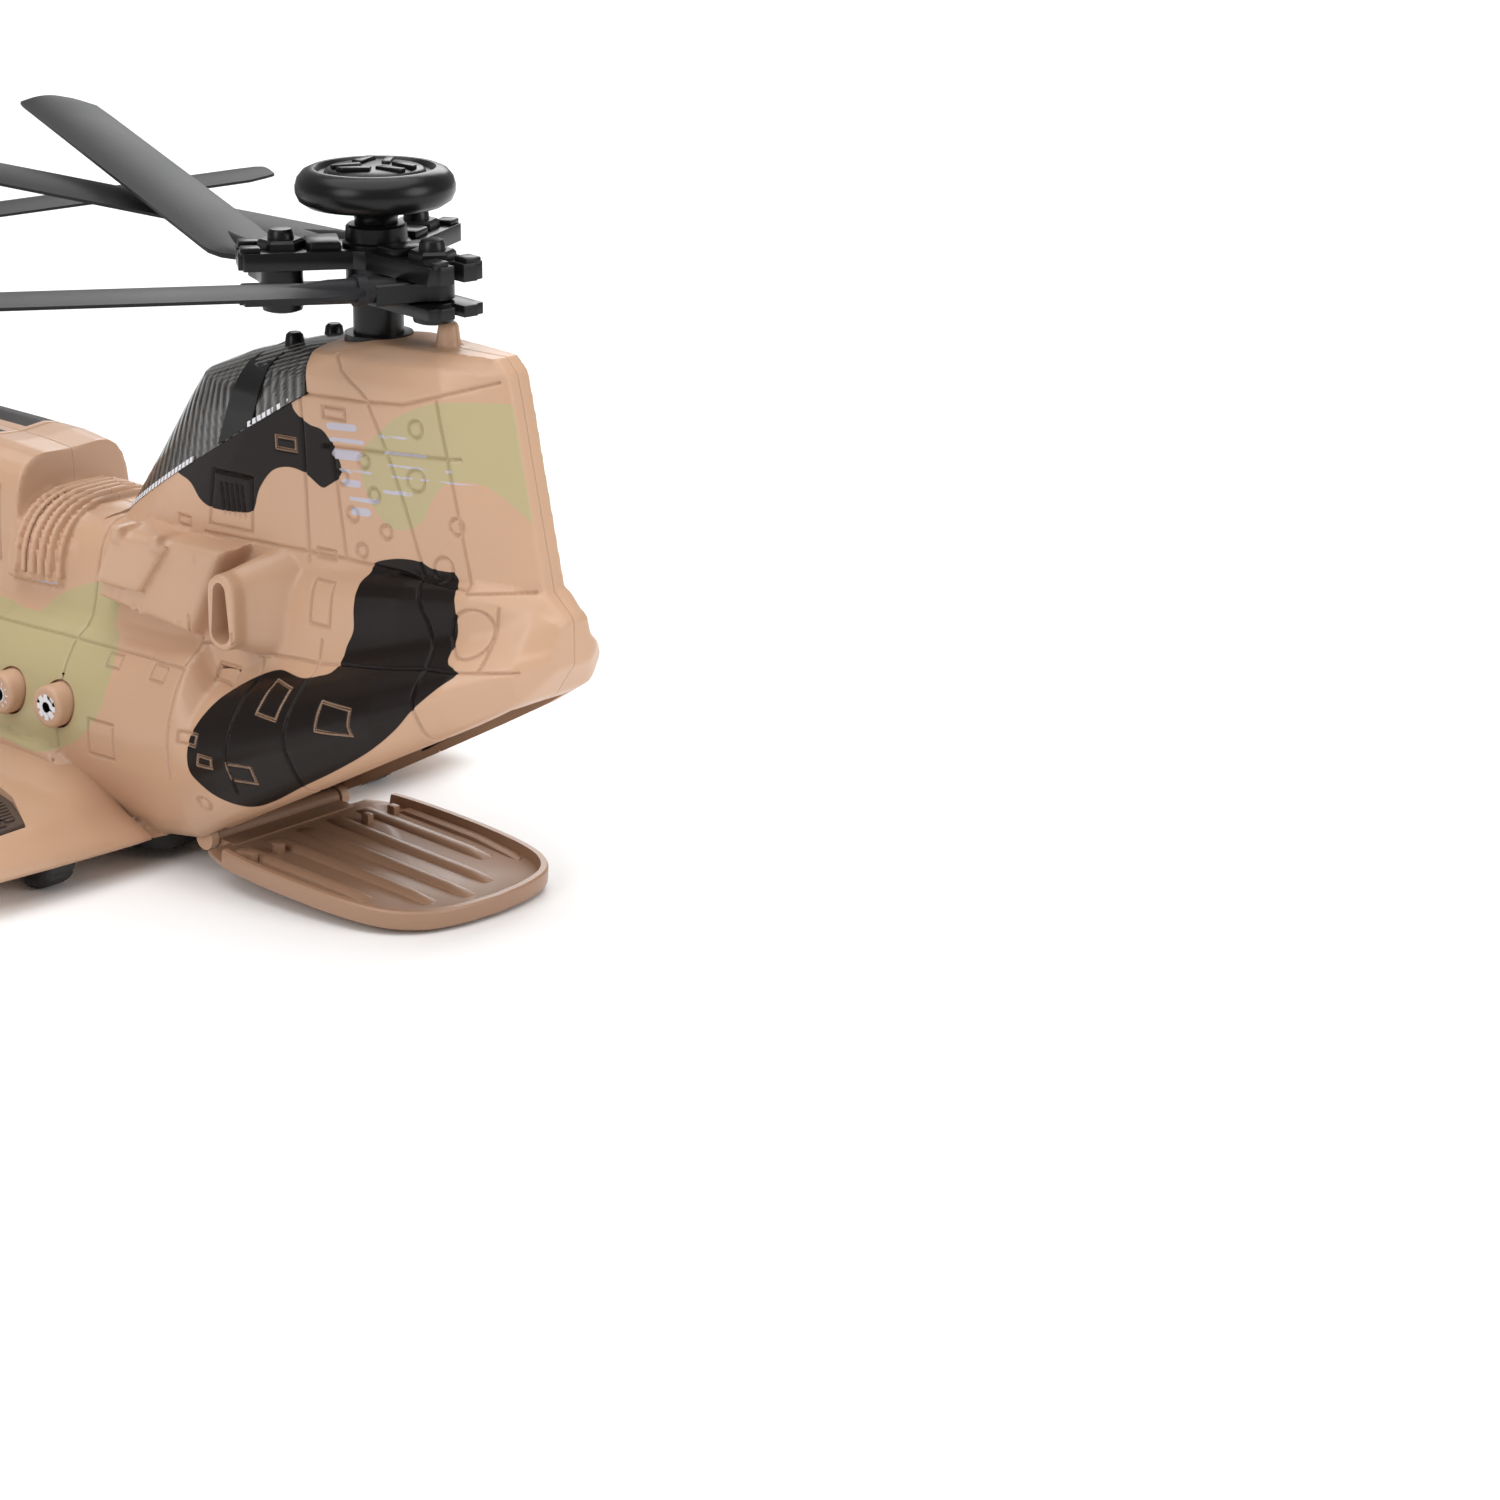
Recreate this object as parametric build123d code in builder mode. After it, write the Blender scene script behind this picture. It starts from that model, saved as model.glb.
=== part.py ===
"""Tandem-rotor toy transport helicopter with a drop-down ramp, folding blades and press-to-spin knobs.

Millimetres, +Z up, ground at z = 0. The nose points to -X, so the port side faces -Y.
Along the fuselage, places are given as the distance ahead of the rear mast.
"""
from build123d import *
from math import cos, degrees, radians, sin, tan
import os

os.makedirs("parts", exist_ok=True)

# ---------------------------------------------------------------- driving dimensions
rear_mast_x = 126.0  # rear mast, from the origin
mast_gap = 234.4  # between the two masts
wall = 2.0  # moulded shell
hull_half = 31.0  # widest half width of the hull
belly_z = 6.0  # underside of the belly
hinge_ahead = 38.0  # ramp hinge, ahead of the rear mast
hinge_z = 8.0
ramp_cut_deg = 27.5  # slope of the tail opening
ramp_rest_deg = 4.4  # the open ramp leans down to the ground
ramp_length = 71.5
roof_z = 126.0  # top of the rear pylon
front_drop = 28.3  # the front rotor sits this much lower
mast_r = 5.5
pin_ring_r = 20.5  # blade pins, from the mast
blade_length = 165.0  # pin to tip
blade_chord = 17.0
button_z = 34.4
button_ahead = {"light_button": 92.3, "sound_button": 75.7}
button_r = 4.9
wheel_r = 7.0
running = 0.05  # radial clearance of a shaft in its hole
bay_half = 20.5  # inside of the cargo bay
bay_floor_z = 9.7
bay_roof_z = 46.5
bay_front = 224.0
bay_rear = 43.0


def at(ahead):
    """X of a place given as its distance ahead of the rear mast."""
    return rear_mast_x - ahead


def save(part, name):
    part.label = name
    export_step(part, f"parts/{name}.step")


def across(ahead):
    """Plane across the fuselage, drawn as (Y, Z)."""
    return Plane(origin=(at(ahead), 0, 0), x_dir=(0, 1, 0), z_dir=(1, 0, 0))


def sideways(ahead, y, z, side=1):
    """Plane whose normal points to starboard (side 1) or to port (side -1)."""
    return Plane(origin=(at(ahead), y, z), x_dir=(1, 0, 0), z_dir=(0, side, 0))


def mirrored(points):
    """Close an outline given for one side only, from its lowest point to its highest."""
    return points + [(-y, z) for y, z in reversed(points) if y > 1e-6]


def outline(plane, points):
    with BuildSketch(plane) as drawn:
        with BuildLine():
            Polyline(*points, close=True)
        make_face()
    return drawn.sketch


# ---------------------------------------------------------------- fuselage
# ahead of the rear mast, half width, underside, top, half width of the top deck
stations = [
    (-56.4, 7.0, 62.0, 72.0, 3.0),
    (-51.0, 14.0, 54.6, 77.0, 5.0),
    (-38.0, 21.5, 47.2, 79.0, 12.0),
    (-20.0, 27.0, 37.8, 78.0, 15.0),
    (2.0, 30.0, 26.3, 76.0, 15.0),
    (20.0, hull_half, 16.9, 75.0, 15.0),
    (hinge_ahead, hull_half, 7.5, 75.0, 15.0),
    (50.0, hull_half, belly_z, 75.0, 15.0),
    (82.0, hull_half, belly_z, 73.5, 14.0),
    (101.8, hull_half, belly_z, 74.5, 14.0),
    (102.2, hull_half, belly_z, 84.5, 16.0),
    (112.0, hull_half, belly_z, 85.6, 17.0),
    (180.0, hull_half, belly_z, 88.0, 17.0),
    (214.0, hull_half, belly_z, 97.0, 15.0),
    (222.0, hull_half, belly_z, roof_z - front_drop, 14.0),
    (244.0, 30.5, belly_z, roof_z - front_drop, 13.0),
    (254.0, 29.0, 6.6, 93.0, 12.0),
    (268.0, 24.5, 10.0, 72.0, 11.0),
    (279.0, 17.0, 17.0, 56.0, 9.0),
    (285.0, 8.0, 27.0, 43.0, 5.0),
]


def hull_outline(half, low, top, deck, inset=0.0):
    """Half outline from keel to crown: round belly, widest low down, shoulder step, narrow upper body."""
    height = top - low
    tuck = min(0.20 * height, 14.0)
    widest = low + min(0.36 * height, 24.0)
    shoulder = low + min(0.62 * height, 42.0)
    if low > belly_z + 3.0:
        shoulder = low + 0.5 * height
        widest = low + 0.28 * height
    keel = half * 0.58
    k = 1.0 - inset / max(half, 10.0)
    points = [
        (0.0, low + inset),
        (keel * k, low + inset),
        (half * 0.80 * k, low + 0.22 * tuck + inset * 0.8),
        (half * 0.955 * k, low + tuck),
        (half * k, widest),
        (half * 0.93 * k, widest + 0.55 * (shoulder - widest)),
        (half * 0.78 * k, shoulder - inset * 0.3),
        (max(half * 0.60, deck + 0.5) * k, shoulder + 5.0 - inset * 0.5),
        ((deck + 1.0) * k, top - 0.22 * (top - shoulder) - inset * 0.5),
        (deck * 0.72 * k, top - inset),
        (0.0, top - inset),
    ]
    return mirrored(points)


def hull_sections(inset=0.0, first=0, last=None):
    chosen = stations[first:last]
    return [outline(across(a), hull_outline(h, lo, t, d, inset)) for a, h, lo, t, d in chosen]


with BuildPart() as hull_body:
    loft(hull_sections(), ruled=True)

# rear pylon, from plan outlines: height, leading edge, side begins, trailing edge, half width
pylon_levels = [
    (62.0, 80.0, 44.0, -50.0, 15.0),
    (75.0, 79.0, 43.0, -51.3, 16.0),
    (92.0, 66.0, 33.0, -47.7, 16.0),
    (106.0, 55.7, 24.0, -44.7, 16.0),
    (112.0, 51.0, 18.0, -43.5, 16.0),
    (118.0, 36.0, 11.0, -42.2, 15.6),
    (123.0, 18.0, 2.0, -41.0, 13.5),
    (roof_z, -2.0, -10.0, -38.0, 8.0),
]


def pylon_outline(lead, side, trail, half, inset=0.0):
    """Plan outline: round nose, flat flanks closing to a thin trailing edge."""
    b = half - inset
    reach = lead - inset - side
    nose = [(side + reach * cos(radians(t)), b * sin(radians(t))) for t in (0, 18, 36, 54, 72, 90)]
    tail_half = max(3.4 - inset, 1.2)
    back = [(trail + inset + 14.0, b * 0.55 + tail_half * 0.45), (trail + inset, tail_half)]
    side_points = nose + back
    ring = side_points + [(a, -y) for a, y in reversed(side_points) if y > 1e-6]
    return [(at(a), y) for a, y in ring]


def pylon_sections(inset=0.0, drop=0.0):
    """Sections from the lowest level up, the top one lowered by drop."""
    faces = []
    for level, lead, side, trail, half in pylon_levels:
        z = level - drop if level == roof_z else level
        faces.append(outline(Plane.XY.offset(z), pylon_outline(lead, side, trail, half, inset)))
    return faces


with BuildPart() as pylon_body:
    loft(pylon_sections(), ruled=True)

with BuildPart() as outer_body:
    add(hull_body.part)
    add(pylon_body.part)

# cavities: hull rear part, hull front part, pylon
with BuildPart() as rear_cavity:
    loft(hull_sections(wall, 1, 10), ruled=True)
with BuildPart() as front_cavity:
    loft(
        [outline(across(a), hull_outline(h, lo, t, d, wall)) for a, h, lo, t, d in
         [(101.7, hull_half, belly_z, 74.5, 14.0), (104.2, hull_half, belly_z, 74.6, 14.0)]],
        ruled=True,
    )
    loft(
        [outline(across(a), hull_outline(h, lo, t, d, wall)) for a, h, lo, t, d in
         [(104.1, hull_half, belly_z, 84.5, 16.0)] + stations[11:19]],
        ruled=True,
    )
with BuildPart() as pylon_cavity:
    loft(pylon_sections(wall, wall), ruled=True)


def side_prism(points, half):
    """Solid with a side view given as (ahead, height), reaching half to each side."""
    with BuildPart() as prism:
        with BuildSketch(Plane.XZ):
            with BuildLine():
                Polyline(*[(at(a), z) for a, z in points], close=True)
            make_face()
        extrude(amount=half, both=True)
    return prism.part


ramp_rise = tan(radians(ramp_cut_deg))


def cut_z(ahead):
    """Height of the tail opening's edge."""
    return 7.5 + (hinge_ahead - ahead) * ramp_rise


mouth_side = side_prism(
    [(hinge_ahead, 3.0), (hinge_ahead, 20.0), (-44.0, cut_z(-44.0) + 12.0), (-47.0, cut_z(-47.0) - 4.0)],
    20.5,
)
mouth_plan = [(40.0, 20.5), (20.0, 20.5), (-20.0, 16.0), (-44.0, 9.0), (-48.0, 9.0)]
mouth_ring = mouth_plan + [(a, -y) for a, y in reversed(mouth_plan)]
with BuildPart() as tail_mouth:
    with BuildSketch():
        with BuildLine():
            Polyline(*[(at(a), y) for a, y in mouth_ring], close=True)
        make_face()
    extrude(amount=90.0)
    add(mouth_side, mode=Mode.INTERSECT)

window_line = [(78.0, 74.0), (7.4, 113.9)]
window_zone = side_prism([(90.0, 67.3), window_line[1], (7.4, 140.0), (90.0, 140.0)], 25.0)
cockpit_zone = side_prism([(256.0, 62.0), (262.0, 40.0), (284.0, 40.0), (290.0, 62.0), (262.0, 78.0)], 40.0)

boss_places = [(-30.0, 70.0), (-24.0, 112.0), (60.0, 62.0), (120.0, 74.0), (200.0, 76.0), (252.0, 72.0)]
boss_r = 3.2
screw_r = 1.05
head_r = 2.3

with BuildPart() as shell_body:
    add(outer_body.part)
    add(rear_cavity.part, mode=Mode.SUBTRACT)
    add(front_cavity.part, mode=Mode.SUBTRACT)
    add(pylon_cavity.part, mode=Mode.SUBTRACT)
    add(tail_mouth.part, mode=Mode.SUBTRACT)

with BuildPart() as bosses:
    for ahead, z in boss_places:
        with BuildSketch(sideways(ahead, 0, z)):
            Circle(boss_r)
        extrude(amount=32.0, both=True)
    add(outer_body.part, mode=Mode.INTERSECT)

nose_wheel_ahead = 262.0
nose_wheel_out = 9.0
well_r = wheel_r + 1.3
battery_ahead = 237.0
box_long = 15.0
box_wide = 22.0
box_high = 15.0
door_long = box_long - 3.0
door_wide = box_wide + 8.0
nozzle_ahead = 25.0
nozzle_z = 64.0
hatch_corners = [(66.0, 60.0), (66.0, 76.5), (46.0, 76.5), (38.0, 57.5)]
with BuildPart() as hatches:
    for side in (-1, 1):
        with BuildSketch(Plane(origin=(0, side * 12.0, 0), x_dir=(1, 0, 0), z_dir=(0, side, 0))):
            with BuildLine():
                Polyline(*[(at(a), side * -z) for a, z in hatch_corners], close=True)
            make_face()
        extrude(amount=11.5, taper=18.0)
with BuildPart() as nozzles:
    for side in (-1, 1):
        with BuildSketch(sideways(nozzle_ahead, side * 12.0, nozzle_z, side)):
            SlotOverall(19.0, 11.0, rotation=90)
        extrude(amount=17.0)
with BuildPart() as nozzle_holes:
    for side in (-1, 1):
        with BuildSketch(sideways(nozzle_ahead, side * 21.5, nozzle_z, side)):
            SlotOverall(14.5, 6.0, rotation=90)
        extrude(amount=12.0)

with BuildPart() as hull_shell:
    add(shell_body.part)
    add(bosses.part)
    add(hatches.part)
    add(nozzles.part)
    add(rear_cavity.part, mode=Mode.SUBTRACT)
    add(pylon_cavity.part, mode=Mode.SUBTRACT)
    add(bosses.part)
    add(nozzle_holes.part, mode=Mode.SUBTRACT)
    add(window_zone, mode=Mode.SUBTRACT)
    add(cockpit_zone, mode=Mode.SUBTRACT)
    with BuildSketch(Plane(origin=(at(nose_wheel_ahead), 0, 0))):
        RectangleRounded(2 * well_r, 2 * (nose_wheel_out + 5.0), 1.0)
    extrude(amount=2 * wheel_r + 2.5, mode=Mode.SUBTRACT)
    for side in (-1, 1):
        with BuildSketch(sideways(nose_wheel_ahead, side * 14.2, 9.0, side)):
            Rectangle(2.44, 6.4)
        extrude(amount=3.0, mode=Mode.SUBTRACT)
    with BuildSketch(Plane(origin=(at(battery_ahead), 0, 0))):
        RectangleRounded(door_long + 0.3, door_wide + 0.3, 1.15)
    extrude(amount=belly_z + 1.4, mode=Mode.SUBTRACT)
    with BuildSketch(Plane(origin=(at(battery_ahead), 0, 0))):
        Rectangle(box_long - 4.0, box_wide - 2.4)
        with Locations((0, box_wide / 2 + 1.8)):
            Circle(0.9)
    extrude(amount=belly_z + 6.0, mode=Mode.SUBTRACT)
    for side in (-1, 1):
        with BuildSketch(sideways(hinge_ahead, side * 19.3, hinge_z, side)):
            Circle(2.6)
        extrude(amount=2.1)
    with BuildSketch(sideways(hinge_ahead, 0, hinge_z)):
        Circle(1.0)
    extrude(amount=21.4, both=True, mode=Mode.SUBTRACT)
    with BuildSketch(Plane(origin=(at(hinge_ahead) - 2.0, 0, 0))):
        Rectangle(12.0, 38.2)
    extrude(amount=15.0, mode=Mode.SUBTRACT)

mast_hole_r = 7.5
with BuildPart() as bored_shell:
    add(hull_shell.part)
    for ahead, roof in ((0.0, roof_z), (mast_gap, roof_z - front_drop)):
        with BuildSketch(Plane(origin=(at(ahead), 0, roof - 6.0))):
            Circle(mast_hole_r)
        extrude(amount=12.0, mode=Mode.SUBTRACT)

with BuildPart() as port_half:
    add(bored_shell.part)
    for ahead in button_ahead.values():
        with BuildSketch(sideways(ahead, -26.0, button_z, -1)):
            Circle(button_r + 0.25)
        extrude(amount=9.0, mode=Mode.SUBTRACT)
        with BuildSketch(sideways(ahead, -20.0, button_z, -1)):
            Circle(6.5)
        extrude(amount=8.2, mode=Mode.SUBTRACT)
    for ahead, z in boss_places:
        with BuildSketch(sideways(ahead, 0, z, -1)):
            Circle(screw_r)
        extrude(amount=5.0, mode=Mode.SUBTRACT)
    split(bisect_by=Plane.XZ, keep=Keep.TOP)
save(port_half.part, "hull_port_half")

with BuildPart() as starboard_half:
    add(bored_shell.part)
    for ahead, z in boss_places:
        with BuildSketch(sideways(ahead, 0, z)):
            Circle(screw_r + 0.2)
        extrude(amount=40.0, mode=Mode.SUBTRACT)
        with BuildSketch(sideways(ahead, 6.0, z)):
            Circle(head_r + 0.2)
        extrude(amount=40.0, mode=Mode.SUBTRACT)
    split(bisect_by=Plane.XZ, keep=Keep.BOTTOM)
save(starboard_half.part, "hull_starboard_half")

with BuildPart() as screws:
    for ahead, z in boss_places:
        with BuildSketch(sideways(ahead, -4.5, z)):
            Circle(screw_r)
        extrude(amount=10.6)
        with BuildSketch(sideways(ahead, 6.0, z)):
            Circle(head_r)
        extrude(amount=1.6)
save(screws.part, "shell_screws")

# ---------------------------------------------------------------- windows
with BuildPart() as pylon_window:
    add(pylon_body.part)
    add(pylon_cavity.part, mode=Mode.SUBTRACT)
    add(rear_cavity.part, mode=Mode.SUBTRACT)
    add(window_zone, mode=Mode.INTERSECT)
    for side in (-1, 1):
        with BuildSketch(Plane(origin=(at(20.0), side * 6.0, 119.0))):
            Circle(2.3)
        extrude(amount=8.0, taper=9.0)
save(pylon_window.part, "rear_pylon_window")

with BuildPart() as cockpit_window:
    add(hull_body.part)
    add(front_cavity.part, mode=Mode.SUBTRACT)
    add(cockpit_zone, mode=Mode.INTERSECT)
save(cockpit_window.part, "cockpit_window")

# ---------------------------------------------------------------- cargo bay trough
bay_wall = 1.5
trough_outer = mirrored([(0, 8.3), (16.0, 8.3), (bay_half + bay_wall, 14.0), (bay_half + bay_wall, 44.0),
                         (17.4, bay_roof_z + bay_wall), (0, bay_roof_z + bay_wall)])
trough_inner = mirrored([(0, bay_floor_z), (15.5, bay_floor_z), (bay_half, 14.6), (bay_half, 43.4),
                         (16.8, bay_roof_z), (0, bay_roof_z)])
with BuildPart() as trough:
    with BuildSketch(Plane(origin=(at(bay_front + bay_wall), 0, 0), x_dir=(0, 1, 0), z_dir=(1, 0, 0))):
        with BuildLine():
            Polyline(*trough_outer, close=True)
        make_face()
    extrude(amount=bay_front + bay_wall - bay_rear)
    with BuildSketch(Plane(origin=(at(bay_front), 0, 0), x_dir=(0, 1, 0), z_dir=(1, 0, 0))):
        with BuildLine():
            Polyline(*trough_inner, close=True)
        make_face()
    extrude(amount=bay_front, mode=Mode.SUBTRACT)
save(trough.part, "cargo_bay_trough")

# ---------------------------------------------------------------- stub wings (sponsons) and wheels
wheel_ahead = 59.0
wheel_out = 51.0
wheel_width = 8.0
wing_root = [(50.0, 6.6), (132.0, 6.6), (140.0, 14.0),
             (126.0, 22.0), (96.0, 25.0), (76.0, 22.5), (62.0, 11.0)]
wing_mid = [(51.0, 6.4), (128.0, 6.4), (134.0, 12.0),
            (124.0, 17.5), (92.0, 19.0), (62.0, 17.6), (53.5, 15.0)]
wing_tip = [(53.0, 7.0), (122.0, 7.0), (127.0, 10.5),
            (118.0, 15.0), (92.0, 16.4), (64.0, 16.4), (55.5, 14.5)]
plate_area = [(60.0, 55.5), (60.0, 76.0), (112.0, 76.0), (112.0, 46.0), (82.0, 46.0)]
for side_name, side in (("port", -1), ("starboard", 1)):
    wing_faces = []
    for out, points in ((24.0, wing_root), (47.0, wing_mid), (80.0, wing_tip)):
        plane = Plane(origin=(0, side * out, 0), x_dir=(1, 0, 0), z_dir=(0, side, 0))
        wing_faces.append(outline(plane, [(at(a), -side * z) for a, z in points]))
    with BuildPart() as wing:
        loft(wing_faces, ruled=True)
        add(outer_body.part, mode=Mode.SUBTRACT)
        with BuildSketch(sideways(wheel_ahead, side * (wheel_out - 5.0), wheel_r, side)):
            Circle(well_r)
        extrude(amount=10.0, mode=Mode.SUBTRACT)
        with BuildSketch(sideways(wheel_ahead, side * (wheel_out - 9.0), wheel_r + 3.0, side)):
            SlotOverall(8.6, 2.44, rotation=90)
        extrude(amount=18.0, mode=Mode.SUBTRACT)
        with BuildSketch(Plane.XY.offset(15.2)):
            with BuildLine():
                Polyline(*[(at(a), side * y) for a, y in plate_area], close=True)
            make_face()
        extrude(amount=8.0, mode=Mode.SUBTRACT)
    save(wing.part, f"stub_wing_{side_name}")

    with BuildPart() as plate:
        with BuildSketch(Plane.XY.offset(15.2)):
            with BuildLine():
                Polyline(*[(at(a), side * y) for a, y in plate_area], close=True)
            make_face()
            offset(amount=-0.25)
        extrude(amount=1.0)
        with BuildSketch(Plane.XY.offset(16.2)):
            with Locations(*[(at(64.0 + 2.4 * i), side * 66.0) for i in range(19)]):
                Rectangle(1.2, 18.0)
        extrude(amount=0.8)
    save(plate.part, f"wing_plate_{side_name}")

    with BuildPart() as wheel:
        with BuildSketch(sideways(wheel_ahead, side * (wheel_out - wheel_width / 2), wheel_r, side)):
            Circle(wheel_r)
            Circle(1.2 + running, mode=Mode.SUBTRACT)
        extrude(amount=wheel_width)
        fillet(wheel.edges().filter_by(GeomType.CIRCLE).sort_by(SortBy.RADIUS)[-2:], radius=1.0)
    save(wheel.part, f"rear_wheel_{side_name}")

with BuildPart() as wheel_axles:
    for side in (-1, 1):
        with BuildSketch(sideways(wheel_ahead, side * (wheel_out - 9.0), wheel_r, side)):
            Circle(1.2)
        extrude(amount=18.0)
save(wheel_axles.part, "rear_wheel_axles")

# nose wheels: a pair on one axle in a well under the nose
with BuildPart() as nose_wheels:
    for side in (-1, 1):
        with BuildSketch(sideways(nose_wheel_ahead, side * (nose_wheel_out - 3.0), wheel_r, side)):
            Circle(wheel_r)
            Circle(1.2, mode=Mode.SUBTRACT)
        extrude(amount=6.0)
save(nose_wheels.part, "nose_wheels")
with BuildPart() as nose_axle:
    with BuildSketch(sideways(nose_wheel_ahead, 0, wheel_r)):
        Circle(1.2)
    extrude(amount=13.2, both=True)
save(nose_axle.part, "nose_axle")

# ---------------------------------------------------------------- rotors
plate_low = roof_z + 7.9
plate_gap_low = plate_low + 2.5
plate_gap_high = plate_gap_low + 5.0
plate_high = plate_gap_high + 3.9
collar_top = plate_high + 4.7
knob_low = collar_top + 3.7
knob_r = 17.3
bore_r = 4.0
rod_r = 1.8
neck_r = 4.7
shelf_z = roof_z - 2.0
root_start = 14.0
arm_half = 7.0

rear_blades = ((50.0, -24.0, 5.0), (170.0, 67.0, 3.5), (-70.0, 2.0, 1.5))  # arm, rest heading, upward lean
front_blades = ((-19.3, -106.0, 1.5), (100.7, 64.5, 3.0), (220.7, 133.7, 3.0))


def turned(angle):
    """Directions are given with 0 ahead and positive to port; this is the angle in the frame."""
    return radians(angle + 180.0)


def place(hub_x, drop, arm):
    a = turned(arm)
    return hub_x + pin_ring_r * cos(a), pin_ring_r * sin(a), plate_gap_low + 2.5 - drop


def hub_plate(hub_x, low, thick, arms, boss_r, hole_r, name, collar=0.0):
    with BuildPart() as made:
        with BuildSketch(Plane(origin=(hub_x, 0, low))):
            Circle(boss_r + 2.0)
            for arm in arms:
                a = turned(arm)
                with Locations(Location((14.5 * cos(a), 14.5 * sin(a), 0), degrees(a))):
                    RectangleRounded(31.0, 2 * arm_half, 2.0)
                with Locations(Location((27.5 * cos(a), 27.5 * sin(a), 0), degrees(a))):
                    Rectangle(5.0, 2.4, mode=Mode.SUBTRACT)
        extrude(amount=thick)
        if collar:
            with BuildSketch(Plane(origin=(hub_x, 0, low + thick))):
                Circle(6.75)
            extrude(amount=collar, taper=3.0)
        with BuildSketch(Plane(origin=(hub_x, 0, low - 1.0))):
            Circle(hole_r)
            for arm in arms:
                a = turned(arm)
                with Locations((pin_ring_r * cos(a), pin_ring_r * sin(a))):
                    Circle(1.5)
        extrude(amount=thick + collar + 2.0, mode=Mode.SUBTRACT)
    save(made.part, name)


def rotor(prefix, hub_x, drop, blades):
    arms = [arm for arm, _, _ in blades]
    mast_foot = roof_z - 30.0 - drop
    with BuildPart() as mast:
        with BuildSketch(Plane(origin=(hub_x, 0, mast_foot))):
            Circle(mast_r)
        extrude(amount=plate_low - drop - mast_foot)
        with BuildSketch(Plane(origin=(hub_x, 0, plate_low - drop))):
            Circle(6.8)
        extrude(amount=plate_gap_high - plate_low)
        with BuildSketch(Plane(origin=(hub_x, 0, shelf_z - drop))):
            Circle(bore_r)
        extrude(amount=40.0, mode=Mode.SUBTRACT)
    save(mast.part, f"{prefix}_mast")

    with BuildPart() as bushing:
        with BuildSketch(Plane(origin=(hub_x, 0, roof_z - 26.0 - drop))):
            Circle(mast_hole_r - 0.02)
        extrude(amount=26.3)
        with BuildSketch(Plane(origin=(hub_x, 0, roof_z - 6.0 - drop))):
            Circle(9.0)
        extrude(amount=2.0)
        with BuildSketch(Plane(origin=(hub_x, 0, roof_z - 40.0 - drop))):
            Circle(mast_r + running)
        extrude(amount=60.0, mode=Mode.SUBTRACT)
    save(bushing.part, f"{prefix}_mast_bushing")

    with BuildPart() as retainer:
        with BuildSketch(Plane(origin=(hub_x, 0, mast_foot - 1.6))):
            Circle(7.6)
        extrude(amount=1.6)
    save(retainer.part, f"{prefix}_mast_retainer")

    hub_plate(hub_x, plate_low - drop, plate_gap_low - plate_low, arms, 7.0, 6.8, f"{prefix}_hub_lower")
    hub_plate(hub_x, plate_gap_high - drop, plate_high - plate_gap_high, arms, 7.0, neck_r + running,
              f"{prefix}_hub_upper", collar_top - plate_high)

    with BuildPart() as pins:
        for arm in arms:
            px, py, pz = place(hub_x, drop, arm)
            with BuildSketch(Plane(origin=(px, py, plate_low - drop - 2.4))):
                Circle(4.2)
            extrude(amount=2.4, taper=-14.0)
            with BuildSketch(Plane(origin=(px, py, plate_low - drop))):
                Circle(1.5)
            extrude(amount=plate_high - plate_low)
            with BuildSketch(Plane(origin=(px, py, plate_high - drop))):
                RegularPolygon(5.2, 6)
            extrude(amount=2.0, taper=12.0)
            with BuildSketch(Plane(origin=(px, py, plate_high - drop + 2.0))):
                Circle(2.6)
            extrude(amount=2.2, taper=8.0)
    save(pins.part, f"{prefix}_blade_pins")

    for number, (arm, heading, lean) in enumerate(blades, start=1):
        px, py, pz = place(hub_x, drop, arm)
        h = turned(heading)
        t = radians(lean)
        flat = Plane(origin=(px, py, pz - 2.3), x_dir=(cos(h), sin(h), 0), z_dir=(0, 0, 1))
        root = Plane(
            origin=(px + (root_start - 1.0) * cos(h), py + (root_start - 1.0) * sin(h), pz),
            x_dir=(0, 0, 1),
            z_dir=(cos(t) * cos(h), cos(t) * sin(h), sin(t)),
        )
        sheet = Plane(
            origin=(px + root_start * cos(h), py + root_start * sin(h), pz - 0.7),
            x_dir=(cos(t) * cos(h), cos(t) * sin(h), sin(t)),
            z_dir=(-sin(t) * cos(h), -sin(t) * sin(h), cos(t)),
        )
        with BuildPart() as blade:
            with BuildSketch(flat):
                Circle(4.5)
                with Locations((root_start / 2, 0)):
                    Rectangle(root_start, 5.6)
            extrude(amount=4.6)
            with BuildSketch(root):
                Circle(2.75)
            extrude(amount=22.0)
            with BuildSketch(root.offset(3.0)):
                Circle(3.5)
            extrude(amount=2.4)
            with BuildSketch(sheet):
                with BuildLine():
                    Polyline((12.0, -2.0), (26.0, -blade_chord / 2), (148.0, -blade_chord / 2),
                             (blade_length - root_start, -blade_chord / 2 + 5.0),
                             (blade_length - root_start, blade_chord / 2 - 0.8), (18.0, blade_chord / 2),
                             (12.0, 2.0), close=True)
                make_face()
            extrude(amount=1.4)
            with BuildSketch(flat.offset(-1.0)):
                Circle(1.5 + running)
            extrude(amount=7.0, mode=Mode.SUBTRACT)
        save(blade.part, f"{prefix}_blade_{number}")

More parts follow.
